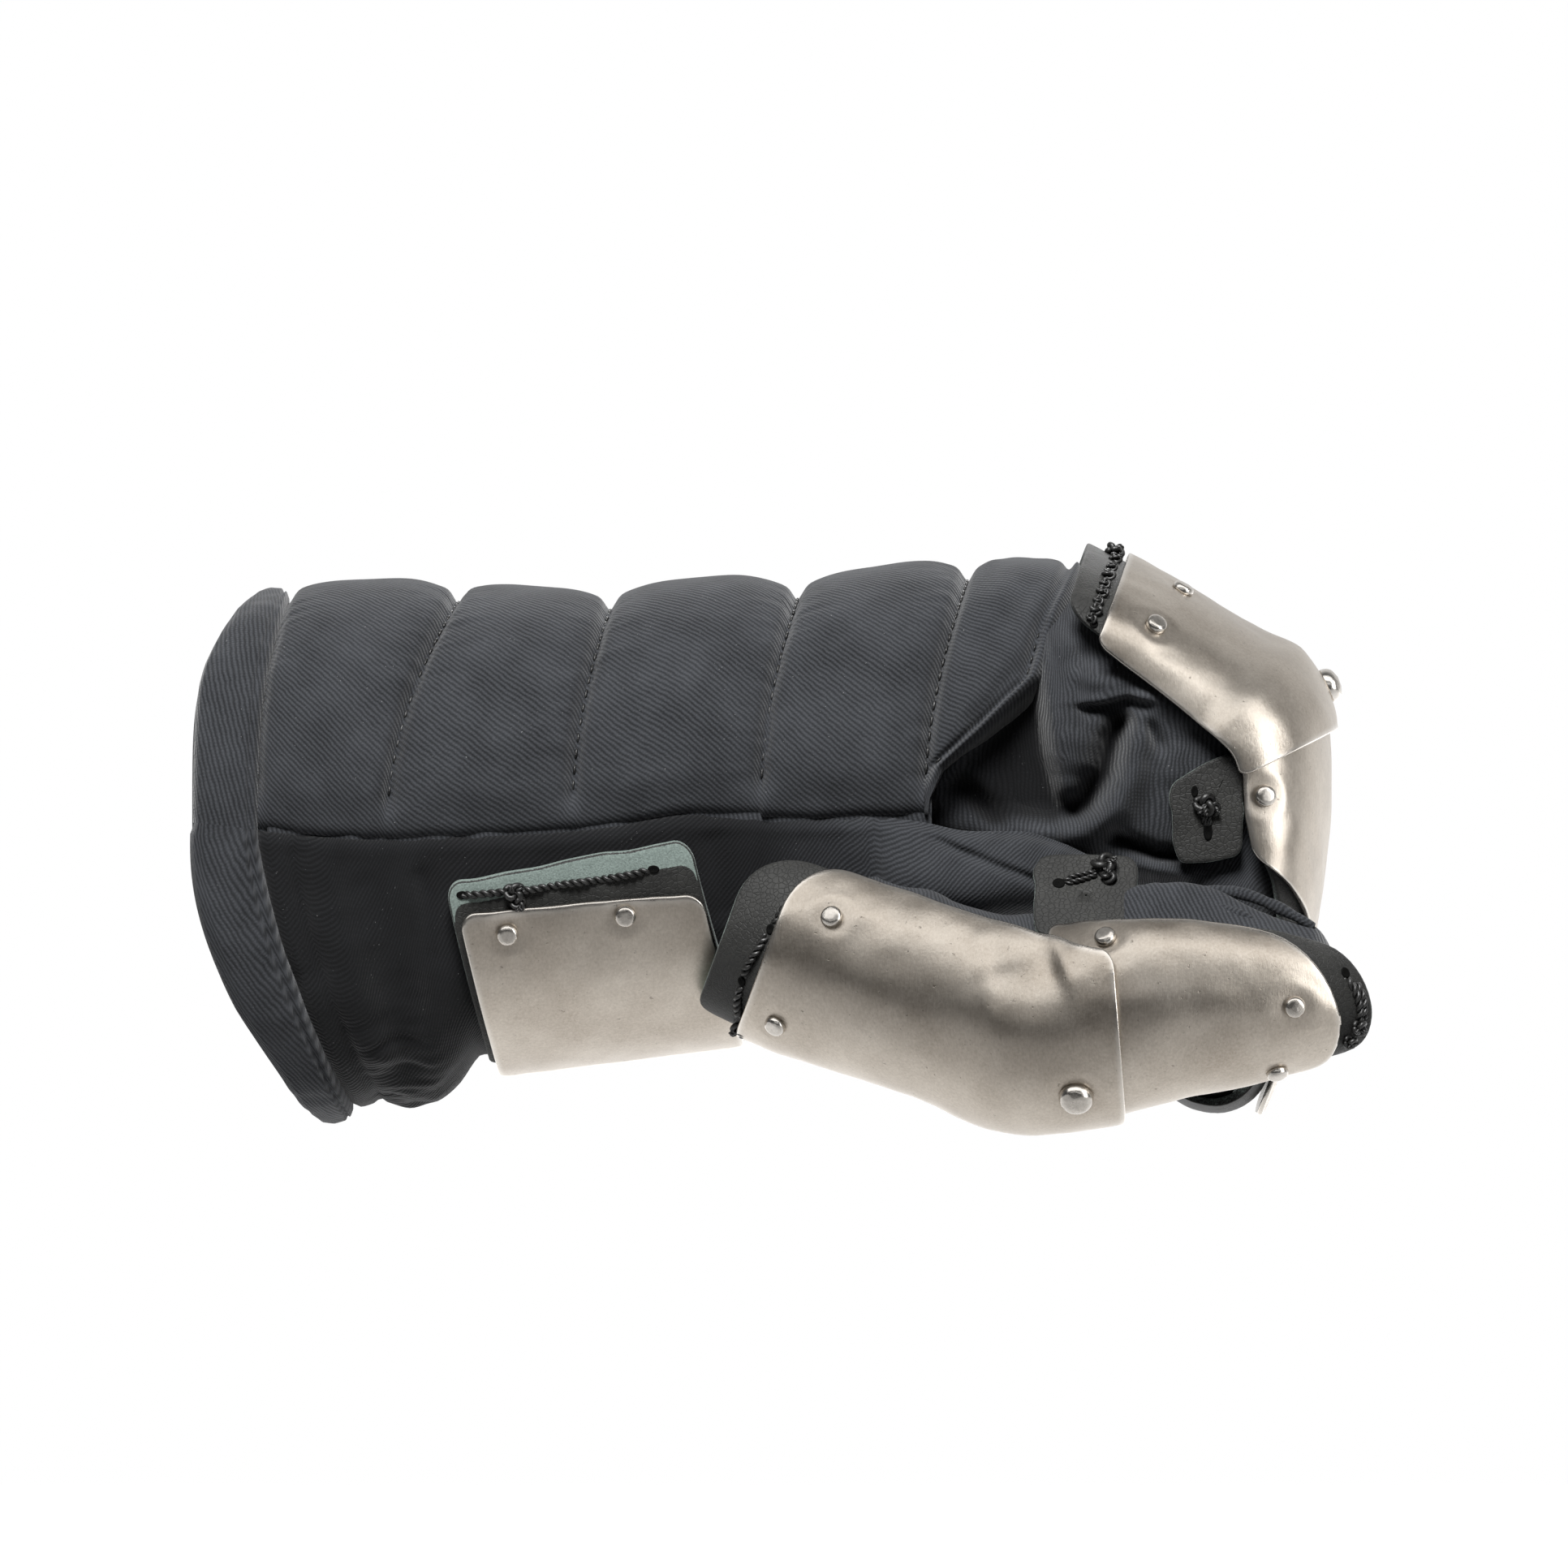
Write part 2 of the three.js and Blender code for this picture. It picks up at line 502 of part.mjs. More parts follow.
function bodyCores() {
  const arc = (from, to) => range(CORE_COLUMNS + 1).map((j) => mix(from, to, j / CORE_COLUMNS));
  const rows = (angles, from, to, out) =>
    range(CORE_ROWS + 1).map((i) => {
      const line = between(from, to, i / CORE_ROWS);
      return angles.map((angle) => bodySkin(line, angle, out));
    });
  const filled = (angles, from, to, over, wallDepth) =>
    solidOf(core(rows(angles, from, to, over))).add(
      solidOf(wall(rows(angles, from, to, over), rows(angles, from, to, -wallDepth))),
    );
  const shifted = (line) => ({
    ...line,
    x_top: line.x_top + CORE_PAST_END,
    x_seam: line.x_seam + CORE_PAST_END,
    x_bottom: line.x_bottom + CORE_PAST_END,
  });
  const padDepth = PADDING + 6 * GAP;
  return {
    upper: filled(arc(0, 180), QUILTING[3], shifted(KNUCKLE_EDGE), CORE_OVER_PAD, padDepth),
    lower: filled(arc(180, 360), HEM_SEAM, shifted(PALM_END), CORE_OVER_PALM, CLOTH + GAP),
  };
}

const POCKET_COLUMNS = 18;
const POCKET_ROWS = 14;
const POCKET_SET_IN = 2 * GAP; // so that the leather clears it
const STALL_COLUMNS = 14;
const STALL_ROWS = 11;
const STALL_PLACES = { root: 1.2, last: 10.6, tip: 11.2 };
const STALL_TIP_Y = -58;
const TIP_BACK = 0.5; // how far behind the end of its form a closed tip lies
const STALL_HOLE = 0.4; // clearance round the stall's hollow, in the palm cloth

function ringRows(skin, places, columns, out) {
  return places.map((place) => range(columns).map((j) => skin(place, (360 * j) / columns, out)));
}

function makePocketAndStall() {
  const cores = bodyCores();
  const last = POCKET.length - 1;
  const places = range(POCKET_ROWS + 1).map((i) => (last * i) / POCKET_ROWS);
  const pocket = wall(
    ringRows(pocketSkin, places, POCKET_COLUMNS, -POCKET_SET_IN),
    ringRows(pocketSkin, places, POCKET_COLUMNS, -POCKET_SET_IN - CLOTH),
    { closed: true, tips: [POCKET_TIP, [POCKET_TIP[0] - TIP_BACK, 0, POCKET_TIP[2] + CLOTH]] },
  );
  const trimmed = solidOf(pocket).subtract(cores.upper).subtract(cores.lower);
  solids.finger_pocket = mainBody(trimmed);
  finishes.finger_pocket = cloth;

  const stallPlaces = range(STALL_ROWS + 1).map((i) =>
    mix(STALL_PLACES.root, STALL_PLACES.last, i / STALL_ROWS),
  );
  const end = stallSkin(STALL_PLACES.tip, 0, 0);
  const tip = [end[0] - TIP_BACK, STALL_TIP_Y, end[2]];
  const stall = wall(
    ringRows(stallSkin, stallPlaces, STALL_COLUMNS, 0),
    ringRows(stallSkin, stallPlaces, STALL_COLUMNS, -CLOTH),
    { closed: true, tips: [tip, [tip[0] - CLOTH, tip[1], tip[2]]] },
  );
  const hollow = ringRows(stallSkin, stallPlaces, STALL_COLUMNS, -CLOTH - STALL_HOLE);
  const stallCore = solidOf(core(hollow));
  solids.thumb_stall = mainBody(solidOf(stall).subtract(cores.lower));
  finishes.thumb_stall = cloth;
  solids.palm_panel = mainBody(solids.palm_panel.subtract(stallCore));
}

// ---- Sheets of steel and leather --------------------------------------------------------

// The length of a skin's line from one place to another, as a list of running totals.
function runOf(skin, from, to, angle) {
  const count = 60;
  const marks = [{ place: from, far: 0 }];
  let before = skin(from, angle, 0);
  for (let i = 1; i <= count; i += 1) {
    const place = mix(from, to, i / count);
    const point = skin(place, angle, 0);
    const step = Math.hypot(...point.map((v, k) => v - before[k]));
    marks.push({ place, far: marks[i - 1].far + step });
    before = point;
  }
  return marks;
}

function placeAt(marks, far) {
  const k = Math.max(1, marks.findIndex((mark) => mark.far >= far - 1e-9));
  const [a, b] = [marks[k - 1], marks[k]];
  return mix(a.place, b.place, (far - a.far) / (b.far - a.far));
}

function farOf(marks, place) {
  const k = Math.max(1, marks.findIndex((mark) => mark.place >= place));
  const [a, b] = [marks[k - 1], marks[k]];
  return mix(a.far, b.far, (place - a.place) / (b.place - a.place));
}

// Distances along a sheet, close together at its round corners.
function stops(length, roundStart, roundEnd, step) {
  const corner = 2;
  const list = range(corner).map((i) => roundStart * (1 - Math.cos(radians((90 * i) / corner))));
  const middle = length - roundStart - roundEnd;
  const spans = Math.max(1, Math.round(middle / step));
  for (let i = 0; i <= spans; i += 1) list.push(roundStart + (middle * i) / spans);
  for (let i = corner - 1; i >= 0; i -= 1)
    list.push(length - roundEnd * (1 - Math.cos(radians((90 * i) / corner))));
  return list;
}

const NARROWEST = 0.46; // of a sheet's width, that a round corner may take from either side
const inset = (far, round) =>
  far >= round ? 0 : round - Math.sqrt(round ** 2 - (round - far) ** 2);

// A sheet that follows a skin. `edges` gives the angles of its two sides at a place, and
// `under` is the height of its underside. `bends` are places that need a row of their own.
function sheet(spec) {
  const { skin, from, to, edges, under, thick, roundStart, roundEnd, step, columns } = spec;
  const middle = (edges(from)[0] + edges(from)[1]) / 2;
  const marks = runOf(skin, from, to, middle);
  const length = marks[marks.length - 1].far;
  const outer = [];
  const inner = [];
  const rows = stops(length, roundStart, roundEnd, step);
  for (const place of spec.bends ?? []) rows.push(farOf(marks, place));
  for (const far of rows.sort((a, b) => a - b)) {
    const place = placeAt(marks, far);
    const [low, high] = edges(place);
    const width = runAcross(skin, place, low, high);
    const cut = Math.max(inset(far, roundStart), inset(length - far, roundEnd));
    const turn = ((high - low) * Math.min(cut, width * NARROWEST)) / width;
    const angles = range(columns + 1).map((j) => mix(low + turn, high - turn, j / columns));
    const height = typeof under === "function" ? under(place) : under;
    outer.push(angles.map((angle) => skin(place, angle, height + thick)));
    inner.push(angles.map((angle) => skin(place, angle, height)));
  }
  return wall(outer, inner);
}

function runAcross(skin, place, low, high) {
  const count = 12;
  let total = 0;
  let before = skin(place, low, 0);
  for (let i = 1; i <= count; i += 1) {
    const point = skin(place, mix(low, high, i / count), 0);
    total += Math.hypot(...point.map((v, k) => v - before[k]));
    before = point;
  }
  return total;
}

// A table of `place`, `low` and `high` as the edges of a sheet.
const edgesFrom = (rows) => (place) => {
  const table = rows.map((row) => ({ ...row, x: row.place }));
  const at = placeOfX(table, place);
  return [column(table, "low", at), column(table, "high", at)];
};

// A flat tab of leather: an outline in a plane, and its thickness off the plane.
function tab(outline, corner, thick = LEATHER) {
  const shape = new THREE.Shape();
  const count = outline.length;
  for (let i = 0; i < count; i += 1) {
    const here = new THREE.Vector2(...outline[i]);
    const before = new THREE.Vector2(...outline[(i + count - 1) % count]);
    const after = new THREE.Vector2(...outline[(i + 1) % count]);
    const start = here.clone().add(before.sub(here).setLength(corner));
    const end = here.clone().add(after.sub(here).setLength(corner));
    if (i === 0) shape.moveTo(start.x, start.y);
    else shape.lineTo(start.x, start.y);
    shape.quadraticCurveTo(here.x, here.y, end.x, end.y);
  }
  shape.closePath();
  return new THREE.ExtrudeGeometry(shape, {
    depth: thick,
    bevelEnabled: false,
    curveSegments: 2,
    steps: 1,
  });
}

const BAR_SIDES = 6;

// A plain round bar between two points, for holes.
function bar(from, to, radius) {
  const a = new THREE.Vector3(...from);
  const b = new THREE.Vector3(...to);
  const rod = new THREE.CylinderGeometry(radius, radius, a.distanceTo(b), BAR_SIDES, 1);
  const turn = new THREE.Quaternion().setFromUnitVectors(
    new THREE.Vector3(0, 1, 0),
    b.clone().sub(a).normalize(),
  );
  rod.applyQuaternion(turn);
  rod.translate(...a.add(b).multiplyScalar(0.5).toArray());
  return rod;
}

// The thumb-base plate lies on the side of the wrist, where the cloth is flattened to this
// plain form.
const BASE_FORM = [
  { x: -60, palm_edge: 0, seam: 0, top: 53, bottom: -52.2, half_width: 49.2 },
  { x: -38, palm_edge: 0, seam: 0, top: 53, bottom: -49.6, half_width: 48.8 },
  { x: 0, palm_edge: 2.3, seam: 2.3, top: 53, bottom: -45.2, half_width: 47.4 },
  { x: 28, palm_edge: 4.4, seam: 4.4, top: 53, bottom: -41.8, half_width: 46.9 },
  { x: 50, palm_edge: 4.4, seam: 4.4, top: 53, bottom: -39.2, half_width: 46.9 },
];

// Along the base plate the place runs from its wrist end, 0, to its thumb end, 1, and the
// angle goes from 360 at the seam to 270 underneath.
const BASE_PLATE = { near_top: -37.5, near_bottom: -25.5, far_top: 15.5, far_bottom: 28.5 };
function baseSkin(place, angle, out) {
  const down = Math.abs(Math.sin(radians(angle)));
  const x = mix(
    mix(BASE_PLATE.near_top, BASE_PLATE.near_bottom, down),
    mix(BASE_PLATE.far_top, BASE_PLATE.far_bottom, down),
    place,
  );
  const line = { x_top: x, x_seam: x, x_bottom: x, bow_top: 1, bow_bottom: 1 };
  return bodySkin(line, angle, out, BASE_FORM);
}

const BASE_LEATHER_LIFT = 1.1;
const BASE_PLATE_LIFT = BASE_LEATHER_LIFT + LEATHER + PLATE_GAP;

function makeBase() {
  piece(
    "thumb_base_leather",
    leather,
    sheet({
      skin: baseSkin,
      from: -0.03,
      to: 1.0,
      edges: (place) => [286, mix(352, 357, place)],
      under: BASE_LEATHER_LIFT,
      thick: LEATHER,
      roundStart: 4,
      roundEnd: 4,
      step: 8,
      columns: 6,
    }),
  );
  piece(
    "thumb_base_plate",
    steel,
    sheet({
      skin: baseSkin,
      from: 0,
      to: 1.0,
      edges: () => [279, 345],
      under: BASE_PLATE_LIFT,
      thick: STEEL,
      roundStart: 4,
      roundEnd: 4,
      step: 8,
      columns: 7,
    }),
  );
}

// The side tab of the thumb leather, leaning in from its foot on the strap's top edge.
const THUMB_TAB = { length: 22.6, depth: 24, corner: 4.5, lean: 42, foot: [91.2, -68.5, -22.5] };
// The sides of the thumb's sheets, as angles round it.
const THUMB_LEATHER_EDGES = edgesFrom([
  { place: 0, low: -104, high: 52 },
  { place: 3, low: -104, high: 52 },
  { place: 5, low: -104, high: 62 },
  { place: 7, low: -102, high: 58 },
  { place: 9, low: -96, high: 58 },
  { place: 12, low: -90, high: 58 },
]);
const THUMB_PLATE_EDGES = edgesFrom([
  { place: 0, low: -112, high: 48 },
  { place: 4, low: -112, high: 48 },
  { place: 5, low: -112, high: 46 },
  { place: 5.7, low: -112, high: 39 },
  { place: 6.6, low: -110, high: 30 },
]);
const THUMB_TIP_EDGES = edgesFrom([
  { place: 5, low: -108, high: 62 },
  { place: 6, low: -108, high: 62 },
  { place: 7, low: -106, high: 52 },
  { place: 9, low: -98, high: 48 },
  { place: 12, low: -86, high: 44 },
]);
// The height of a plate where it laps over the next one.
const LAPPED = PLATE_GAP + STEEL + PLATE_GAP + 0.4;
const thumbPlateLift = (place) => mix(PLATE_GAP, LAPPED, smoothStep(3.4, 4.6, place));

function thumbTab(thick) {
  const { length, depth, corner, foot } = THUMB_TAB;
  const flat = tab([[0, 0], [length, 0], [length, depth], [0, depth]], corner, thick);
  flat.translate(0, 0, -thick / 2);
  flat.rotateX(radians(90 - THUMB_TAB.lean));
  flat.translate(...foot);
  return flat;
}

function makeThumb() {
  const strap = sheet({
    skin: thumbSkin,
    from: 0.42,
    to: 11.75,
    edges: THUMB_LEATHER_EDGES,
    under: -LEATHER,
    thick: LEATHER - 2 * GAP,
    roundStart: 15,
    roundEnd: 13,
    step: 10,
    columns: 7,
  });
  const tabSpace = solidOf(thumbTab(LEATHER + 2 * GAP));
  solids.thumb_stall = mainBody(solids.thumb_stall.subtract(tabSpace));
  piece("thumb_leather", leather, strap);
  solids.thumb_leather = solids.thumb_leather.add(solidOf(thumbTab(LEATHER)));
  piece(
    "thumb_plate",
    steel,
    sheet({
      skin: thumbSkin,
      from: 1.02,
      to: 6.42,
      edges: THUMB_PLATE_EDGES,
      under: thumbPlateLift,
      thick: STEEL,
      roundStart: 14,
      roundEnd: 3.5,
      step: 9,
      columns: 7,
    }),
  );
  piece(
    "thumb_tip_plate",
    steel,
    sheet({
      skin: thumbSkin,
      from: 4.95,
      to: 11.02,
      edges: THUMB_TIP_EDGES,
      under: PLATE_GAP,
      thick: STEEL,
      roundStart: 4,
      roundEnd: 21,
      step: 9,
      columns: 7,
    }),
  );
}

// The sides of the finger sheets, as the angle from the crown.
const symmetric = (rows) => edgesFrom(rows.map((row) => ({ ...row, low: -row.high })));
const FINGER_LEATHER_EDGES = symmetric([
  { place: 0, high: 74 },
  { place: 1, high: 82 },
  { place: 8.8, high: 86 },
  { place: 9.5, high: 70 },
  { place: 10.5, high: 50 },
  { place: 12, high: 42 },
  { place: 16, high: 38 },
]);
const KNUCKLE_PLATE_EDGES = symmetric([
  { place: 0, high: 88 },
  { place: 3, high: 89 },
  { place: 7, high: 89 },
]);
const FINGERTIP_PLATE_EDGES = symmetric([
  { place: 4, high: 87 },
  { place: 8.6, high: 88 },
  { place: 9.1, high: 84 },
  { place: 9.5, high: 62 },
  { place: 10, high: 34 },
  { place: 11, high: 24 },
  { place: 13, high: 22 },
]);
const knucklePlateLift = (place) => mix(PLATE_GAP, LAPPED, smoothStep(3.4, 4.4, place));

// The side tabs of the finger leather: their outline as x and z, their corners, and how far
// out their inner faces lie.
const FINGER_TAB = [
  [137, 16.5],
  [132.5, 18.2],
  [120.6, 11.5],
  [122.2, -5.6],
  [128.9, -5.8],
  [137, -3.8],
];
const FINGER_TAB_CORNER = 2.2;
const FINGER_TAB_INSIDE = 43.2;

function makeFingers() {
  const strap = sheet({
    skin: fingerSkin,
    from: 0.25,
    to: 16,
    edges: FINGER_LEATHER_EDGES,
    under: -LEATHER,
    thick: LEATHER - GAP,
    bends: [9.1, 9.7],
    roundStart: 7,
    roundEnd: 7,
    step: 12,
    columns: 8,
  });
  piece("finger_leather", leather, strap);
  for (const side of [-1, 1]) {
    const flat = tab(FINGER_TAB, FINGER_TAB_CORNER);
    flat.rotateX(radians(90));
    flat.translate(0, side < 0 ? -FINGER_TAB_INSIDE : FINGER_TAB_INSIDE + LEATHER, 0);
    solids.finger_leather = solids.finger_leather.add(solidOf(flat));
  }
  piece(
    "knuckle_plate",
    steel,
    sheet({
      skin: fingerSkin,
      from: 0.98,
      to: 6.62,
      edges: KNUCKLE_PLATE_EDGES,
      under: knucklePlateLift,
      thick: STEEL,
      roundStart: 3.5,
      roundEnd: 3.5,
      step: 9,
      columns: 8,
    }),
  );
  piece(
    "fingertip_plate",
    steel,
    sheet({
      skin: fingertipSkin,
      from: 4.75,
      to: 13,
      edges: FINGERTIP_PLATE_EDGES,
      under: PLATE_GAP,
      thick: STEEL,
      bends: [9.1, 9.3, 9.5, 9.75],
      roundStart: 4,
      roundEnd: 9,
      step: 9,
      columns: 8,
    }),
  );
}

// ---- Rivets -------------------------------------------------------------------------------

// Each rivet stands on a skin, and its shank goes down through the pieces that it holds.
const SMALL = { radius: 2.45, height: 1.5, shank: SHANK_RADIUS, sides: 8 };
const DOME = { radius: 3.85, height: 3.0, shank: 2.0, sides: 12 };
const HEAD_GAP = 0.2; // under the flat of a head, over the crown of the plate
const SHANK_SHORT = 0.1; // how far a shank ends above the underside of the leather
const HOLE_OVER = 3; // how far a drilled hole is cut past its pieces, above them
const HOLE_UNDER = 2;
const BASE = { skin: baseSkin, lift: () => BASE_PLATE_LIFT, floor: BASE_LEATHER_LIFT };
const BASE_HELD = ["thumb_base_plate", "thumb_base_leather"];
const ON_THUMB = { skin: thumbSkin, lift: thumbPlateLift, floor: -LEATHER };
const ON_TIP = { skin: thumbSkin, lift: () => PLATE_GAP, floor: -LEATHER };
const ON_KNUCKLE = { skin: fingerSkin, lift: knucklePlateLift, floor: -LEATHER };
const ON_FINGERTIP = { skin: fingertipSkin, lift: () => PLATE_GAP, floor: -LEATHER };
const THUMB_HELD = ["thumb_plate", "thumb_leather"];
const TIP_HELD = ["thumb_tip_plate", "thumb_leather"];
const KNUCKLE_HELD = ["knuckle_plate", "finger_leather"];
const FINGERTIP_HELD = ["fingertip_plate", "finger_leather"];
const RIVETS = [
  { name: "base_rivet_1", on: BASE, place: 0.18, angle: 339, head: SMALL, holds: BASE_HELD },
  { name: "base_rivet_2", on: BASE, place: 0.67, angle: 341, head: SMALL, holds: BASE_HELD },
  { name: "thumb_rivet_1", on: ON_THUMB, place: 1.74, angle: 17, head: SMALL, holds: THUMB_HELD },
  { name: "thumb_rivet_2", on: ON_THUMB, place: 1.52, angle: -51, head: SMALL, holds: THUMB_HELD },
  {
    name: "thumb_joint_rivet",
    on: ON_THUMB,
    place: 5.7,
    angle: -44,
    head: DOME,
    holds: [...THUMB_HELD, "thumb_tip_plate"],
  },
  { name: "thumb_tip_rivet_1", on: ON_TIP, place: 6.3, angle: 43, head: SMALL, holds: TIP_HELD },
  { name: "thumb_tip_rivet_2", on: ON_TIP, place: 9.9, angle: -11, head: SMALL, holds: TIP_HELD },
  { name: "thumb_tip_rivet_3", on: ON_TIP, place: 9.34, angle: -68, head: SMALL, holds: TIP_HELD },
  {
    name: "finger_joint_rivet",
    on: ON_KNUCKLE,
    place: 5.5,
    angle: 0,
    head: DOME,
    holds: [...KNUCKLE_HELD, "fingertip_plate"],
  },
];
// The finger plates have their rivets on both sides, mirrored across the crown.
const PAIRED_RIVETS = [
  { plate: "knuckle", number: 1, on: ON_KNUCKLE, place: 2.1, angle: 60, holds: KNUCKLE_HELD },
  { plate: "knuckle", number: 2, on: ON_KNUCKLE, place: 2.25, angle: 22, holds: KNUCKLE_HELD },
  { plate: "fingertip", number: 1, on: ON_FINGERTIP, place: 7.6, angle: 78, holds: FINGERTIP_HELD },
  { plate: "fingertip", number: 2, on: ON_FINGERTIP, place: 11.4, angle: 13, holds: FINGERTIP_HELD },
];
for (const { plate, number, angle, ...rest } of PAIRED_RIVETS) {
  const rivet = (side) => `${plate}_rivet_${side}_${number}`;
  RIVETS.push({ name: rivet("near"), angle: -angle, head: SMALL, ...rest });
  RIVETS.push({ name: rivet("far"), angle, head: SMALL, ...rest });
}

const PLACE_STEP = 0.02;

// The point on a skin at a height above it, and the direction straight out of it.
function standing(skin, place, angle, height) {
  const at = (along, round) => new THREE.Vector3(...skin(place + along, angle + round, height));
  const point = at(0, 0);
  const along = at(PLACE_STEP, 0).sub(at(-PLACE_STEP, 0));
  const across = at(0, 1).sub(at(0, -1));
  const normal = along.cross(across).normalize();
  const above = new THREE.Vector3(...skin(place, angle, height + 1)).sub(point);
  if (normal.dot(above) < 0) normal.negate();
  return { point, normal };
}

// A rivet standing on the origin along +Y, with its shank below. Its head is an arc of two
// flats.
function rivetGeometry(head, depth) {
  const shoulder = radians(45);
  const profile = [
    [0, -depth],
    [head.shank, -depth],
    [head.shank, HEAD_GAP],
    [head.radius, HEAD_GAP],
    [head.radius * Math.cos(shoulder), HEAD_GAP + head.height * Math.sin(shoulder)],
    [0, HEAD_GAP + head.height],
  ];
  return new THREE.LatheGeometry(profile.map(([x, y]) => new THREE.Vector2(x, y)), head.sides);
}

function makeRivets() {
  for (const { name, on, place, angle, head, holds } of RIVETS) {
    const top = on.lift(place) + STEEL;
    const { point, normal } = standing(on.skin, place, angle, top);
    const depth = top - on.floor - SHANK_SHORT;
    const turn = new THREE.Quaternion().setFromUnitVectors(new THREE.Vector3(0, 1, 0), normal);
    const rivet = rivetGeometry(head, depth);
    rivet.applyQuaternion(turn);
    rivet.translate(...point.toArray());
    piece(name, bright, rivet);
    const from = point.clone().addScaledVector(normal, HOLE_OVER);
    const to = point.clone().addScaledVector(normal, -depth - HOLE_UNDER);
    const hole = solidOf(bar(from.toArray(), to.toArray(), head.shank + GAP));
    for (const held of holds) solids[held] = solids[held].subtract(hole);
  }
}

// ---- The whole gauntlet ---------------------------------------------------------------------

makeHem();
makeBack();
makePalm();
makePocketAndStall();
makeBase();
makeThumb();
makeFingers();
makeRivets();

for (const [name, solid] of Object.entries(solids)) {
  const mesh = new THREE.Mesh(geometryOf(solid), new THREE.MeshStandardMaterial(finishes[name]));
  mesh.name = name;
  gauntlet.add(mesh);
}

export default gauntlet;
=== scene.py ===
# %% [markdown]
# # A padded gauntlet with steel plates
#
# A mitten of black cotton twill, quilted on the back of the hand, carries five steel plates.
# Each plate is riveted to leather, and the leather is laced onto the cloth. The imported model
# gives the frame: every piece here takes the place of the plain solid of its name.
#
# The forms are worked out in millimetres from short tables, as a pattern cutter would keep
# them, and each is a grid of points. A grid is easy to thicken, to wrinkle and to weave on.

# %% Load the frame
import math

import bmesh
import bpy
import numpy as np
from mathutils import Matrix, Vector
from mathutils.bvhtree import BVHTree


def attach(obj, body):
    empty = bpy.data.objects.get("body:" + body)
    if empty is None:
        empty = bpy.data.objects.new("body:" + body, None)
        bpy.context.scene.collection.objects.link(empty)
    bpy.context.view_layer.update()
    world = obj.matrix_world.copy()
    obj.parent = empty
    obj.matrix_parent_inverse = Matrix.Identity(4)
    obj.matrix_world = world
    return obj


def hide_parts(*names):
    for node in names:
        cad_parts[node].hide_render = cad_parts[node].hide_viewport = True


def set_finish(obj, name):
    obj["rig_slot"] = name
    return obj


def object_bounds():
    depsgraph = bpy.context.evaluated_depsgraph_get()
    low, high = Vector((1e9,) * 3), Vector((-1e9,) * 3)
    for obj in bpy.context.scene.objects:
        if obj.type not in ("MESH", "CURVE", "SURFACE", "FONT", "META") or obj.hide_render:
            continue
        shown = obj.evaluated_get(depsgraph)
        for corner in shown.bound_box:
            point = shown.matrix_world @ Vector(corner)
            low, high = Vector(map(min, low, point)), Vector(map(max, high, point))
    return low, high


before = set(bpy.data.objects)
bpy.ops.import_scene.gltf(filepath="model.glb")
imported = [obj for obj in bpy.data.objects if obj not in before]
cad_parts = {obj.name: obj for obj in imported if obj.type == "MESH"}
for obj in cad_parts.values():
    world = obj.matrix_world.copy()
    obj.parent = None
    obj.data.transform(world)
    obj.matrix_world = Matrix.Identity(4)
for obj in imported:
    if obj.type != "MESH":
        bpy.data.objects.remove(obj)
cad_low, cad_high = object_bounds()
print("frame:", len(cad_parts), "nodes, box", tuple(cad_low), tuple(cad_high))

# %% [markdown]
# ## The camera
#
# A long lens keeps the gauntlet's outline almost free of perspective, as in a
# plain catalogue view. It looks level along +Y at the thumb side. Everything is placed by
# shares of the model's own box, so that it follows the model.

# %% Camera
MM = 0.001
LENS = 600.0
SENSOR = 36.0
VIEW_WIDTH = 1.342  # of the gauntlet's length
AIM_X = 0.5025  # of the box's length, from the cuff
AIM_Z = 0.590  # of its height

cad_size = cad_high - cad_low
camera = bpy.data.objects.new("camera", bpy.data.cameras.new("camera"))
bpy.context.scene.collection.objects.link(camera)
camera.data.lens = LENS
camera.data.sensor_width = SENSOR
camera.data.clip_end = 50.0
camera.location = (
    cad_low.x + AIM_X * cad_size.x,
    -VIEW_WIDTH * cad_size.x * LENS / SENSOR,
    cad_low.z + AIM_Z * cad_size.z,
)
camera.rotation_euler = (math.pi / 2, 0, 0)
bpy.context.scene.camera = camera
print("camera stands", round(-camera.location.y, 2), "m away")

# %% [markdown]
# ## Numbers that shape cloth
#
# A table holds one form: a row for each section, and a name for each column. `column` reads
# it as a smooth curve. `wander` is gentle random hills, always the same for the same seed,
# which no hand-drawn formula gives: without them cloth looks like plastic.

# %% Tables, curves and noise
def table(names, *rows):
    """Named columns from rows of numbers."""
    return dict(zip(names.split(), np.array(rows, float).T))


def mix(a, b, t):
    return a + (b - a) * t


def ease(low, high, value):
    """0 below low, 1 above high, and smooth between them."""
    t = np.clip((value - low) / (high - low), 0, 1)
    return t * t * (3 - 2 * t)


def power(value, exponent):
    return np.sign(value) * np.abs(value) ** exponent


def hill(value, width):
    return np.exp(-((value / width) ** 2))


def column(rows, name, place):
    """A table's column at a place along its rows, on a curve through them."""
    values = rows[name]
    last = len(values) - 1
    k = np.clip(np.floor(place), 0, last - 1).astype(int)
    t = place - k
    a, b, c, d = (values[np.clip(k + step, 0, last)] for step in (-1, 0, 1, 2))
    rise, fall = (c - a) / 2, (d - b) / 2
    return ((2 * b - 2 * c + rise + fall) * t - 3 * b + 3 * c - 2 * rise - fall) * t * t + rise * t + b


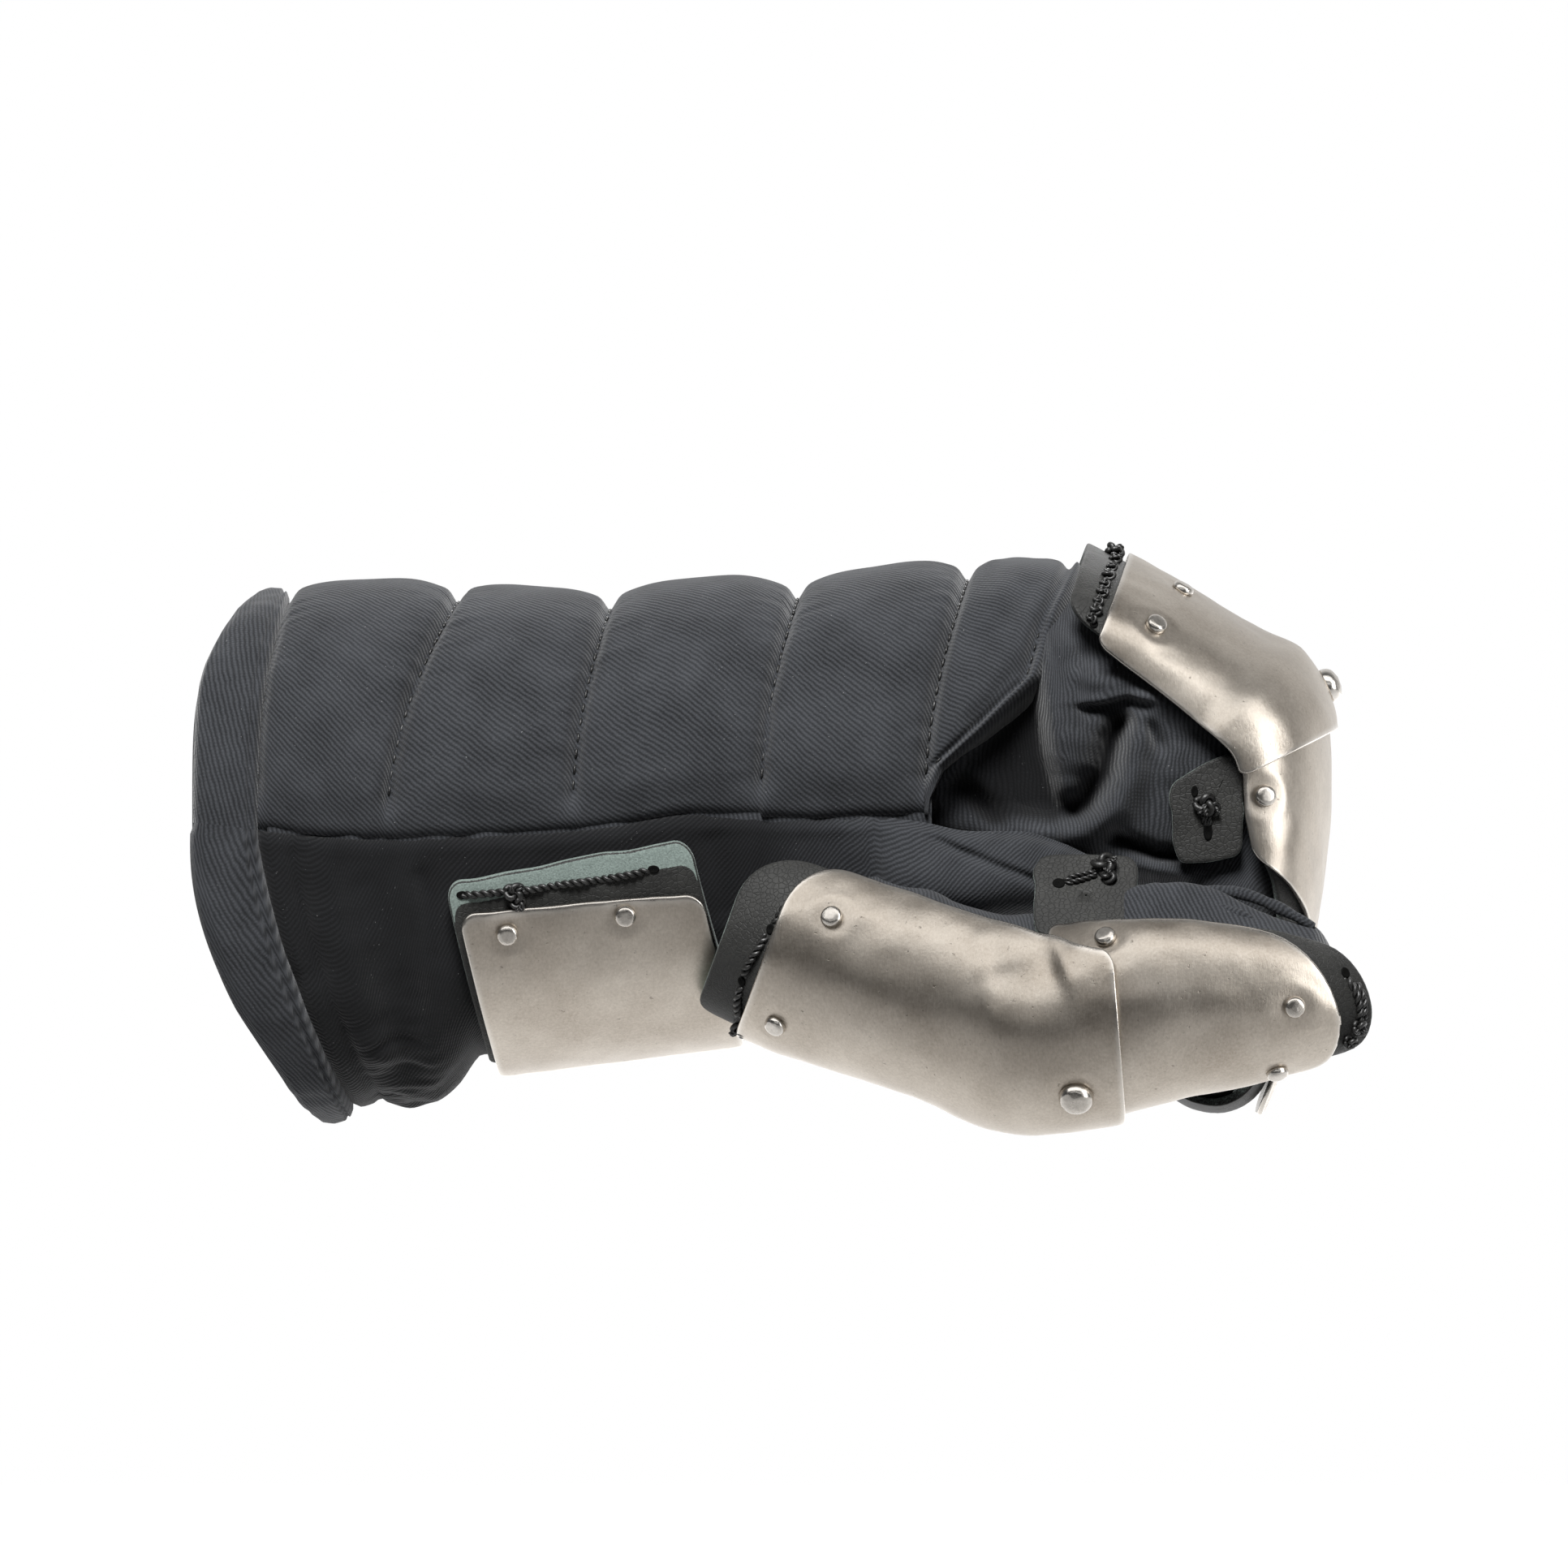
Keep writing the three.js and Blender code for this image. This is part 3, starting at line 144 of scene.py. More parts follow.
def wander(u, v, seed):
    """Smooth random values from -1 to 1 over a plane, about one hill to a unit."""
    size = 64
    lattice = np.random.default_rng(seed).uniform(-1, 1, (size, size))
    u, v = np.broadcast_arrays(u, v)
    i, j = np.floor(u).astype(int), np.floor(v).astype(int)
    s, t = ease(0, 1, u - i), ease(0, 1, v - j)
    near = mix(lattice[i % size, j % size], lattice[(i + 1) % size, j % size], s)
    far = mix(lattice[i % size, (j + 1) % size], lattice[(i + 1) % size, (j + 1) % size], s)
    return mix(near, far, t)


print("one hill of noise:", round(float(wander(0.5, 0.5, 1)), 3))

# %% [markdown]
# ## The glove's body
#
# The same tables as in the part's source, in millimetres: the height of the top, the side
# seam and the underside, and half the width, from the cuff to the knuckles. A `line` runs
# round the body, leaning back from the top to the side seams. The quilting follows lines.

# %% The body's form
BODY = table(
    "x top seam palm_edge bottom half_width",
    (-93, 52.6, 3.0, 3.0, -62.0, 50.0),
    (-76, 52.8, 1.2, 1.2, -62.5, 50.0),
    (-58, 53.0, -0.4, -0.4, -60.8, 49.4),
    (-48, 53.1, -0.5, -0.5, -57.6, 49.0),
    (-40, 53.2, -0.2, -0.2, -58.8, 48.6),
    (-35, 53.2, 0.0, 0.0, -54.6, 48.2),
    (-30, 53.1, 0.1, 0.1, -48.6, 47.8),
    (-12, 51.9, 1.0, 1.0, -46.2, 47.3),
    (0, 51.5, 2.3, 2.3, -44.6, 47.0),
    (14, 52.1, 4.7, 4.7, -42.8, 46.6),
    (27, 53.0, 4.4, 4.4, -40.6, 46.5),
    (42, 54.1, 3.8, 3.8, -33.0, 46.5),
    (56, 55.6, 4.4, 4.4, -26.0, 46.5),
    (67, 57.1, 4.6, 3.2, -22.6, 46.3),
    (76, 57.9, 4.6, 1.3, -21.6, 46.0),
    (90, 58.8, 4.6, 1.0, -20.0, 45.2),
    (98, 58.5, 4.6, -1.6, -17.4, 44.8),
    (106, 57.2, 4.6, -5.0, -12.0, 44.2),
)
CLOTH_SQUARE = 2.3  # 2 is an ellipse, and more is squarer
HEM_EDGE = dict(x_top=-80, x_seam=-92.4, x_bottom=-66, bow_top=5, bow_bottom=2.3)
HEM_SEAM = dict(x_top=-72.1, x_seam=-78.0, x_bottom=-58, bow_top=3, bow_bottom=1.4)
KNUCKLE_EDGE = dict(x_top=102.6, x_seam=68.2, x_bottom=68.2, bow_top=0.9, bow_bottom=1)
PALM_END = dict(x_top=84, x_seam=105, x_bottom=103, bow_top=2, bow_bottom=2)


def quilt_line(x_top, x_seam):
    return dict(x_top=x_top, x_seam=x_seam, x_bottom=x_seam, bow_top=2, bow_bottom=2)


QUILTING = [
    {**HEM_SEAM, "x_bottom": HEM_SEAM["x_seam"]},
    quilt_line(-34.8, -50.0),
    quilt_line(-1.4, -9.6),
    quilt_line(39.8, 31.6),
    quilt_line(77.1, 67.4),
]


def between(a, b, t):
    """The line that lies between two others."""
    return {name: mix(a[name], b[name], t) for name in a}


def line_x(line, angle):
    """How far forward a line round the body lies at an angle."""
    sine = power(np.sin(np.radians(angle)), 2 / CLOTH_SQUARE)
    end = np.where(sine >= 0, line["x_top"], line["x_bottom"])
    bow = np.where(sine >= 0, line["bow_top"], line["bow_bottom"])
    return mix(end, line["x_seam"], 1 - np.abs(sine) ** bow)


def body_at(x, angle, out=0.0, form=BODY):
    """Points round the body: angle 0 at the thumb-side seam, 90 on top, 270 below."""
    sine = power(np.sin(np.radians(angle)), 2 / CLOTH_SQUARE)
    cosine = power(np.cos(np.radians(angle)), 2 / CLOTH_SQUARE)
    upper = sine >= 0
    place = np.interp(x, form["x"], np.arange(len(form["x"])))
    base = np.where(upper, column(form, "seam", place), column(form, "palm_edge", place))
    tall = np.where(upper, column(form, "top", place), column(form, "bottom", place))
    wide = column(form, "half_width", place) + out
    up = base + (np.abs(tall - base) + out) * sine
    return np.stack(np.broadcast_arrays(x, -wide * cosine, up), -1)


def body_skin(line, angle, out=0.0, form=BODY):
    return body_at(line_x(line, angle), angle, out, form)


print("cuff is", round(float(np.ptp(body_skin(HEM_EDGE, np.arange(360.0))[:, 2]))), "mm high")

# %% [markdown]
# ## From grids to meshes
#
# A cloth wall has an outer face, an inner face and rims. `shell` joins two grids into one
# closed mesh. Each piece also carries a map named `weave`, in millimetres along and round
# the cloth, so that its twill runs with the cloth wherever it bends, and a value named
# `rim`, which is 0 on the outer face and 1 on cut edges and the inside. On the finger
# pocket's outer face it holds how deep a fold lies instead, for painted shade.

# %% Grids to meshes
def run_lengths(grid, axis):
    """How far each point of a grid lies along an axis, in millimetres of cloth."""
    steps = np.linalg.norm(np.diff(grid, axis=axis), axis=-1)
    zero = np.zeros_like(steps[:1]) if axis == 0 else np.zeros_like(steps[:, :1])
    return np.cumsum(np.concatenate([zero, steps], axis), axis)


def make_object(name, points, faces, corner_map=None, rim=None):
    mesh = bpy.data.meshes.new(name)
    mesh.from_pydata((points * MM).tolist(), [], faces.tolist())
    if corner_map is not None:
        mesh.uv_layers.new(name="weave").uv.foreach_set("vector", corner_map.ravel())
    if rim is not None:
        values = mesh.attributes.new("rim", "FLOAT", "POINT")
        values.data.foreach_set("value", rim.astype(np.float32).ravel())
    mesh.validate()
    mesh.shade_smooth()
    piece = bpy.data.objects.new(name, mesh)
    bpy.context.scene.collection.objects.link(piece)
    return piece


def grid_faces(index, ring):
    """Quads over a grid of point numbers, which closes round its columns if ring is set."""
    if ring:
        index = np.concatenate([index, index[:, :1]], 1)
    return np.stack([index[:-1, :-1], index[:-1, 1:], index[1:, 1:], index[1:, :-1]], -1)


def shell(name, layers, ring=False, rims=None):
    """A closed wall from layers of points, the first outside and the last inside.

    Between the first and the last, each layer only gives the loops of the rims."""
    rows, across = layers[0].shape[:2]
    index = np.arange(rows * across).reshape(rows, across)
    points = [layer.reshape(-1, 3) for layer in layers]
    along = run_lengths(layers[0], 0).mean(1, keepdims=True) + np.zeros((rows, across))
    round_ = run_lengths(layers[0], 1)
    last = (len(layers) - 1) * rows * across
    outer = grid_faces(index, ring).reshape(-1, 4)
    inner = grid_faces(index + last, ring).reshape(-1, 4)[:, ::-1]
    if ring:
        closing = round_[:, -1:] + np.linalg.norm(layers[0][:, -1:] - layers[0][:, :1], axis=-1)
        along = np.concatenate([along, along[:, :1]], 1)
        round_ = np.concatenate([round_, closing], 1)
        loops = [index[0], index[-1][::-1]]
    else:
        border = [index[0, :-1], index[:-1, -1], index[-1, :0:-1], index[:0:-1, 0]]
        loops = [np.concatenate(border)]
    place = np.stack([along, round_], -1)
    corners = np.stack([place[:-1, :-1], place[:-1, 1:], place[1:, 1:], place[1:, :-1]], 2)
    corners = corners.reshape(-1, 4, 2)
    faces, maps = [outer, inner], [corners, corners[:, ::-1]]
    flat = place[:, :-1].reshape(-1, 2) if ring else place.reshape(-1, 2)
    for loop in loops:
        following = np.roll(loop, -1)
        for k in range(len(layers) - 1):
            low, high = k * rows * across, (k + 1) * rows * across
            side = [following + low, loop + low, loop + high, following + high]
            faces.append(np.stack(side, -1))
            maps.append(np.stack([flat[following], flat[loop]] * 2, 1)[:, [0, 1, 3, 2]])
    if rims is None:
        rims = [0.0] + [1.0] * (len(layers) - 1)
    rim = np.concatenate([np.broadcast_to(value, (rows, across)).ravel() for value in rims])
    points, faces = np.concatenate(points), np.concatenate(faces)
    used = np.unique(faces)
    renumber = np.zeros(len(points), int)
    renumber[used] = np.arange(len(used))
    return make_object(name, points[used], renumber[faces], np.concatenate(maps), rim[used])


def outward(piece):
    """Turns a closed piece's faces to point out of it."""
    work = bmesh.new()
    work.from_mesh(piece.data)
    bmesh.ops.recalc_face_normals(work, faces=work.faces)
    work.to_mesh(piece.data)
    work.free()
    return piece


def dress(piece, slot, *nodes):
    """Rides the piece on the one body, names its slot, and hides the nodes it stands for."""
    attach(piece, "root")
    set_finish(piece, slot)
    if nodes:
        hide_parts(*nodes)
    print(piece.name, "has", len(piece.data.polygons), "faces")
    return piece


pieces = {}

# %% [markdown]
# ## Folds drawn on the side
#
# Where a hand closes, the cloth folds over itself. Each fold is drawn as a short route seen
# from the side: on its left hand the cloth stands up in a lip, and on its right hand it
# falls into a hollow. Adding such steps to a smooth form is how a sculptor blocks in
# drapery, and it costs nothing to run.

# %% Folds
def fold(x, z, route, lip, lip_width, hollow, hollow_width, crisp=0.7):
    """How far one fold lifts the cloth at points seen from the side, in millimetres."""
    best = np.full(np.shape(x), 1e9)
    signed, along = np.zeros(np.shape(x)), np.zeros(np.shape(x))
    start = 0.0
    for (x0, z0), (x1, z1) in zip(route[:-1], route[1:]):
        length = math.hypot(x1 - x0, z1 - z0)
        dx, dz = (x1 - x0) / length, (z1 - z0) / length
        t = np.clip((x - x0) * dx + (z - z0) * dz, 0, length)
        away = np.hypot(x - x0 - t * dx, z - z0 - t * dz)
        left = dx * (z - z0) - dz * (x - x0)
        closer = away < best
        best = np.where(closer, away, best)
        signed = np.where(closer, np.sign(left) * away, signed)
        along = np.where(closer, start + t, along)
        start += length
    fade = ease(-1, 4, along) * ease(-1, 4, start - along)
    up = ease(-crisp, crisp, signed)
    lifted = lip * hill(np.maximum(signed, 0) / lip_width, 1)
    fallen = hollow * hill(np.minimum(signed, 0) / hollow_width, 1)
    return fade * (lifted * up - fallen * (1 - up))


def ridge(x, z, route, height, width):
    """A rounded ridge along a route, or a valley when the height is negative."""
    return fold(x, z, route, height, width, -height, width, crisp=0.05)


print("a lip of 2 mm rises to", float(fold(0.5, 0.0, [(0, 9), (0, -9)], 2, 3, 1, 3).round(2)))

# %% [markdown]
# ## The hem
#
# The band at the opening is cloth folded double and sewn down, so it is full and round, a
# little uneven, with a sewn groove just behind its seam.

# %% Hem
HEM_THICK = 4.5
hem_share = np.linspace(0, 1, 34)[:, None]
hem_angle = np.linspace(0, 360, 260, endpoint=False)[None, :]
hem_swell = np.interp(hem_share, [0, 0.06, 0.2, 0.5, 0.8, 0.93, 1], [-1.6, 0.1, 1.1, 1.5, 1.2, 0.5, -1.0])
hem_swell = hem_swell - 0.7 * hill(hem_share - 0.86, 0.03)
hem_swell = hem_swell + 0.45 * wander(hem_share * 2.2, hem_angle / 15, 11)
hem_swell = hem_swell + 0.18 * wander(hem_share * 1.5, hem_angle / 4, 12)
hem_line = between(HEM_EDGE, HEM_SEAM, hem_share)
hem_outer = body_skin(hem_line, hem_angle, hem_swell)
hem_outer[..., 0] += 0.7 * wander(hem_angle / 22, hem_share * 0, 13) * (1 - hem_share)
hem_inner = body_skin(hem_line, hem_angle, -HEM_THICK)
hem = outward(shell("cuff_hem_cloth", [hem_outer, hem_inner], ring=True))
pieces["hem"] = dress(hem, "cloth", "cuff_hem")

# %% [markdown]
# ## The quilted back
#
# Wadding is sewn between two cloths along four lines. Between the lines it puffs up to a
# flat crown. At each line the thread pulls the cloth in to a sharp valley, and the spare
# cloth beside it gathers in small puckers. The lines stop a little above the side seam.

# %% Quilted back
PADDING = 8.0
SEAM_CLEARANCE = 0.06  # degrees
LINE_STOP = (2.0, 8.0)  # degrees above the seam over which a quilting line fades out
CHANNELS = [
    dict(puff=3.4, side=2.6, seed=21),
    dict(puff=2.8, side=2.8, seed=22),
    dict(puff=4.4, side=3.0, seed=23),
    dict(puff=3.6, side=2.8, seed=24),
]
BACK_COLUMNS = 260
back_angle = np.linspace(SEAM_CLEARANCE, 180 - SEAM_CLEARANCE, BACK_COLUMNS)[None, :]


def seam_height(angle):
    """About how far above its nearer side seam a point of the back lies, in millimetres."""
    return 56 * np.sin(np.radians(np.minimum(angle, 180 - angle))) ** 0.87


def quilted(share, angle, puff, side, seed, width):
    """The height of padding across a channel, where share runs from 0 to 1."""
    from_start, from_end = share * width, (1 - share) * width
    near = np.minimum(from_start, from_end)
    high = seam_height(angle)
    held = ease(LINE_STOP[0], LINE_STOP[1], np.minimum(angle, 180 - angle))
    crown = 1 - np.abs(2 * share - 1) ** 3.2
    full = mix(side, puff, np.sin(np.radians(angle)) ** 2)
    height = full * mix(0.75, crown, held) * ease(-3, 12, high)
    height = height - 2.1 * hill(near, 1.5) * held
    run = angle * 0.85
    pucker = wander(run / 2.6, from_start / 7, seed) + 0.6 * wander(run / 1.5, from_start / 5, seed + 50)
    height = height + 0.42 * pucker * np.exp(-near / 4.2) * held
    gather = wander(from_start / 4.5, high / 16, seed + 100)
    height = height + 0.75 * gather * np.exp(-high / 10)
    height = height + 0.5 * wander(from_start / 13, run / 16, seed + 150)
    return height - 1.5 * hill(high, 1.3)


back_outer, back_inner = [], []
for k, channel in enumerate(CHANNELS):
    line_from, line_to = QUILTING[k], QUILTING[k + 1]
    share = np.linspace(0, 1, 41)
    share = mix(share, 0.5 - 0.5 * np.cos(np.pi * share), 0.5)[(k > 0) :, None]
    line = between(line_from, line_to, share)
    width = line_to["x_top"] - line_from["x_top"]
    out = quilted(share, back_angle, channel["puff"], channel["side"], channel["seed"], width)
    back_outer.append(body_skin(line, back_angle, out))
    back_inner.append(body_skin(line, back_angle, -PADDING))
back_outer, back_inner = np.concatenate(back_outer), np.concatenate(back_inner)
back = outward(shell("quilted_back", [back_outer, back_inner]))
pieces["back"] = dress(back, "quilted_cloth", "back_pad")

# %% [markdown]
# ## The knuckle padding
#
# The last padded panel ends in a turned seam that slants from the top of the knuckles back
# to the side. Its edge stands proud of the finger cloth as a thin roll.

# %% Knuckle padding
KNUCKLE_SEAM = table(
    "up forward", (0, 0), (0.07, 0.01), (0.2, 0.1), (0.31, 0.31), (0.46, 0.56), (0.55, 0.71),
    (0.73, 0.79), (1, 1),
)


def knuckle_x(angle):
    """How far forward the padding's turned seam lies."""
    up = np.abs(power(np.sin(np.radians(angle)), 2 / CLOTH_SQUARE))
    forward = np.interp(up, KNUCKLE_SEAM["up"], KNUCKLE_SEAM["forward"])
    return mix(KNUCKLE_EDGE["x_seam"], KNUCKLE_EDGE["x_top"], forward)


share = np.linspace(0, 1, 58)[:, None]
pad_x = mix(line_x(QUILTING[-1], back_angle), knuckle_x(back_angle), share)
flat_pad = body_at(pad_x, back_angle)
start_far = run_lengths(flat_pad, 0)
edge_far = start_far[-1:] - start_far
wide = np.maximum(start_far[-1:], 0.5)
high = seam_height(back_angle)
held = ease(1, 6, np.minimum(back_angle, 180 - back_angle)) * ease(1, 5, wide)
out = 2.6 * np.clip(1 - np.abs(2 * share - 1) ** 2.6, 0, 1) * ease(2, 16, wide)
out = out - 2.3 * hill(start_far, 1.4) * held
out = out + 1.7 * hill(edge_far - 1.2, 1.0) * held - 1.1 * hill(edge_far - 3.4, 1.0) * held
crease = ridge(flat_pad[..., 0], flat_pad[..., 2], [(95.5, 47), (90, 38), (82, 28.5), (76, 23)], -1.6, 2.0)
out = out + crease
out = out + 0.5 * wander(start_far / 5, back_angle / 14, 31) * ease(0, 6, start_far)
out = out + 0.5 * wander(start_far / 2.6, back_angle / 20, 32) * np.exp(-high / 26) * ease(0, 5, wide)
knuckle_outer = body_at(pad_x, back_angle, out)
knuckle_inner = body_at(pad_x, back_angle, -PADDING)
knuckle = outward(shell("knuckle_padding", [knuckle_outer, knuckle_inner]))
pieces["knuckle"] = dress(knuckle, "quilted_cloth", "knuckle_pad")

# %% [markdown]
# ## The palm
#
# One plain layer of cloth under the hand. Just behind the hem a tape is sewn inside it and
# drawn up, so that the cloth gathers over it in small upright folds. Broad soft dents show
# where nothing fills it.

# %% Palm
CLOTH = 3.0
PALM_FOLDS = [
    dict(route=[(-70, 0), (-68, -14), (-66, -34)], depth=1.5, width=3.4),
    dict(route=[(-56, -8), (-48, -24), (-44, -40)], depth=1.2, width=4.5),
    dict(route=[(-44, -6), (-40, -14), (-40, -30)], depth=1.6, width=3.0),
    dict(route=[(56.4, 4), (56.8, -9), (57, -20)], depth=1.3, width=1.1),
    dict(route=[(20, 2), (24, -9), (25, -20)], depth=1.2, width=4.0),
]
share = (np.linspace(0, 1, 150) ** 1.05)[:, None]
palm_angle = np.linspace(180 + SEAM_CLEARANCE, 360 - SEAM_CLEARANCE, 220)[None, :]
line = between(HEM_SEAM, PALM_END, share)
flat_palm = body_skin(line, palm_angle)
x, y, z = np.moveaxis(flat_palm, -1, 0)
forward = x - HEM_SEAM["x_bottom"]
under = np.maximum(0, -np.sin(np.radians(palm_angle))) ** 0.8
hem_far = run_lengths(flat_palm, 0)
gathers = wander(palm_angle / 5.5, hem_far / 9, 41) + 0.6 * wander(palm_angle / 2.6, hem_far / 7, 45)
casing = hill(hem_far - 12, 4.6)
out = under * casing * (1.5 + 0.8 * gathers) - under * 0.9 * hill(hem_far - 6.5, 1.0)
out = out + under * 0.7 * gathers * np.exp(-((hem_far - 18) / 9) ** 2)
out = out - 1.2 * hill(hem_far, 1.2)
out = out + 0.9 * wander(x / 15, z / 12, 42) + 0.35 * wander(x / 5, z / 7, 43)
to_seam = np.abs(np.interp(x, BODY["x"], BODY["palm_edge"]) - z)
out = out - 1.2 * hill(to_seam, 1.3) + 0.35 * hill(to_seam - 2.6, 1.5)
out = out + 0.4 * wander(x / 3.4, to_seam / 14, 44) * np.exp(-to_seam / 6)
for row in PALM_FOLDS:
    out = out - np.where(y < 0, row["depth"], row["depth"] / 2) * ridge(x, z, row["route"], 1.0, row["width"])
palm_outer = body_skin(line, palm_angle, out)
palm_inner = body_skin(line, palm_angle, -CLOTH)
below = np.interp(x, BODY["x"], BODY["palm_edge"]) - z
web = 13 * ease(1, 20, below) + 2.2 * ease(0, 2.2, below) - 1.2 * hill(below - 1.5, 2)
web = np.where(y < 0, web, 0) * ease(48, 72, x)
seam_dent = ridge(x, z, [(67.5, 0.6), (74, -2.5), (83.7, -6.7), (91.6, -9.4), (98, -11)], -1.7, 1.0)
web = web + np.where(y < 0, seam_dent, 0)
palm_outer[..., 1] -= web
palm_inner[..., 1] -= np.maximum(web - 1.0, 0)
palm = outward(shell("palm_cloth", [palm_outer, palm_inner]))
pieces["palm"] = dress(palm, "cloth", "palm_panel")

# %% [markdown]
# ## Inside the side seams
#
# The back and the palm meet edge to edge, and the spare cloth of the seam lies inside. The
# strip closes the joint, and gives the dark line of the seam its depth.

# %% Seam allowances
for side, name in ((1, "near"), (-1, "far")):
    strip_x = np.linspace(-76, 69, 120)[:, None]
    strip_up = np.linspace(-5, 5, 14)[None, :]
    seam_z = column(BODY, "seam", np.interp(strip_x, BODY["x"], np.arange(len(BODY["x"]))))
    layers = []
    for depth in (1.3, 2.9):
        wide = np.interp(strip_x, BODY["x"], BODY["half_width"]) - depth
        wide = wide - 0.3 * (strip_up / 5) ** 2 + 0.1 * wander(strip_x / 6, strip_up / 6, 51)
        layers.append(np.stack(np.broadcast_arrays(strip_x, -side * wide, seam_z + strip_up), -1))
    strip = outward(shell("seam_allowance_" + name, layers))
    pieces[strip.name] = dress(strip, "cloth")

# %% [markdown]
# ## The finger pocket
#
# The fingers fill a cloth pocket, whose side shows between the knuckle padding and the
# finger plates. A closed hand pushes its spare cloth into deep folds there. They are drawn
# as routes: each has a lip on its left hand and a hollow on its right. The grid is fine on
# the sides, where the folds are, and coarse over the crown, which leather covers.

# %% Finger pocket
POCKET = table(
    "crown_x crown_z sole_x sole_z half_width",
    (84.0, 50.0, 63.0, -1.0, 41.0),
    (94.0, 54.0, 80.0, -7.0, 42.6),
    (104.0, 56.4, 94.0, -11.0, 43.0),
    (113.0, 54.6, 103.0, -13.0, 43.0),
    (121.0, 50.8, 109.5, -14.0, 43.0),
    (133.8, 42.6, 114.0, -14.5, 42.8),
    (143.0, 36.0, 117.0, -15.0, 42.8),
    (148.6, 29.5, 119.0, -16.0, 42.6),
    (151.0, 20.0, 120.3, -18.0, 42.4),
    (151.6, 8.6, 121.0, -19.0, 42.0),
    (150.6, -3.0, 121.2, -24.0, 41.4),
    (148.4, -19.5, 120.8, -32.0, 40.4),
    (144.6, -35.0, 119.6, -40.0, 39.0),
    (140.8, -47.0, 120.4, -48.4, 37.0),
    (136.8, -53.4, 124.0, -53.0, 32.0),
)
POCKET_TIP = np.array([130.5, 0, -59.4])
POCKET_SQUARE = 2.5
SOLE_SQUARE = 3.8  # the sides stay full down to the sole
POCKET_SET_IN = 0.6
POCKET_STEPS = [
    dict(
        route=[(95.5, 47), (93.6, 38), (94.0, 30), (95.5, 18), (98, 7), (101, 4)],
        lip=3.0, lip_width=5, hollow=0, hollow_width=6, crisp=3.4,
    ),
    dict(
        route=[(100, 28.6), (106, 29.0), (112, 30.4), (118, 29)],
        lip=1.6, lip_width=2.5, hollow=3.6, hollow_width=3,
    ),
]
POCKET_RIDGES = [
    dict(route=[(92, 36), (84, 27), (76, 19), (70.5, 12), (69.5, 4)], height=4.5, width=2.2),
    dict(route=[(73.5, 13), (79, 8.5), (85.5, 1.5)], height=-4.5, width=2.2),
    dict(route=[(101, 24), (100, 13)], height=1.8, width=4.5),
    dict(route=[(112, 28), (108.4, 21), (106.8, 14), (102.5, 7.5), (97, 4.5)], height=-8.5, width=3.0),
    dict(
        route=[(115.5, 33), (114.8, 24), (113.4, 15), (109.8, 6.5), (103, 1.0), (95, -1.5)],
        height=4.2, width=3.6,
    ),
    dict(route=[(98, 37.5), (104, 34), (112, 34), (119, 30.5), (128, 23)], height=3.0, width=2.4),
    dict(route=[(98, 45), (99, 38)], height=2.0, width=1.6),
    dict(route=[(102.5, 44), (102, 37)], height=-2.4, width=1.4),
    dict(route=[(115.7, 26.5), (120.5, 17)], height=-3.2, width=1.4),
    dict(route=[(121.5, 21), (122, 10)], height=1.6, width=3.0),
    dict(route=[(107, 0.5), (113, -2), (118, -4), (126, -5)], height=-6.0, width=1.9),
    dict(route=[(110, -6), (118, -7.6), (128, -8.5)], height=3.0, width=2.4),
]


def gusset(x, z):
    """The folds in the side of the finger pocket, out from its plain side."""
    out = sum(fold(x, z, **row) for row in POCKET_STEPS)
    out = out + sum(ridge(x, z, **row) for row in POCKET_RIDGES)
    edge = np.interp(z, [4, 18, 30, 38], [99, 95.5, 94, 93.6])
    out = out - (4.0 + 6.0 * ease(76, 93, x)) * (1 - ease(-4.0, 1.6, x - edge)) * ease(0, 8, z)
    out = out + 0.9 * wander(x / 9, z / 13, 61) + 0.4 * wander(x / 4, z / 6, 62)
    return out + 0.6 * wander(x / 2.2, z / 8, 63) * ease(34, 44, z)


def pocket_skin(place, angle, out, folded=1.0):
    at = {name: column(POCKET, name, place) for name in POCKET}
    middle_x, middle_z = (at["crown_x"] + at["sole_x"]) / 2, (at["crown_z"] + at["sole_z"]) / 2
    half_x, half_z = at["crown_x"] - middle_x, at["crown_z"] - middle_z
    depth = np.hypot(half_x, half_z)
    square = np.where(np.cos(np.radians(angle)) < 0, SOLE_SQUARE, POCKET_SQUARE)
    cosine = power(np.cos(np.radians(angle)), 2 / square)
    sine = power(np.sin(np.radians(angle)), 2 / square)
    lift = (depth + out) / depth * cosine
    x, z = middle_x + half_x * lift, middle_z + half_z * lift
    side = at["half_width"] + out + folded * gusset(x, z) * np.abs(sine) ** 3
    return np.stack(np.broadcast_arrays(x, side * sine, z), -1)


def even_angles(skin, place, low, high, count):
    """Angles whose points lie evenly along a skin between two angles."""
    fine = np.linspace(low, high, 1500)
    steps = np.linalg.norm(np.diff(skin(np.float64(place), fine), axis=0), axis=-1)
    far = np.concatenate([[0], np.cumsum(steps)])
    return np.interp(np.linspace(0, far[-1], count), far, fine)


def plain_pocket(place, angle):
    return pocket_skin(place, angle, 0.0, folded=0)


near = even_angles(plain_pocket, 5, -165, -15, 156)
far = even_angles(plain_pocket, 5, 15, 165, 70)
crown = even_angles(plain_pocket, 5, -15, 15, 18)[1:-1]
sole = even_angles(plain_pocket, 5, 165, 195, 18)[1:-1]
pocket_angle = np.concatenate([near, crown, far, sole])[None, :]
pocket_place = np.concatenate([np.linspace(0, 9, 96), np.linspace(9, 14, 20)[1:]])[:, None]
pocket_outer = pocket_skin(pocket_place, pocket_angle, -POCKET_SET_IN)
pocket_inner = pocket_skin(pocket_place, pocket_angle, -POCKET_SET_IN - CLOTH, folded=0.6)


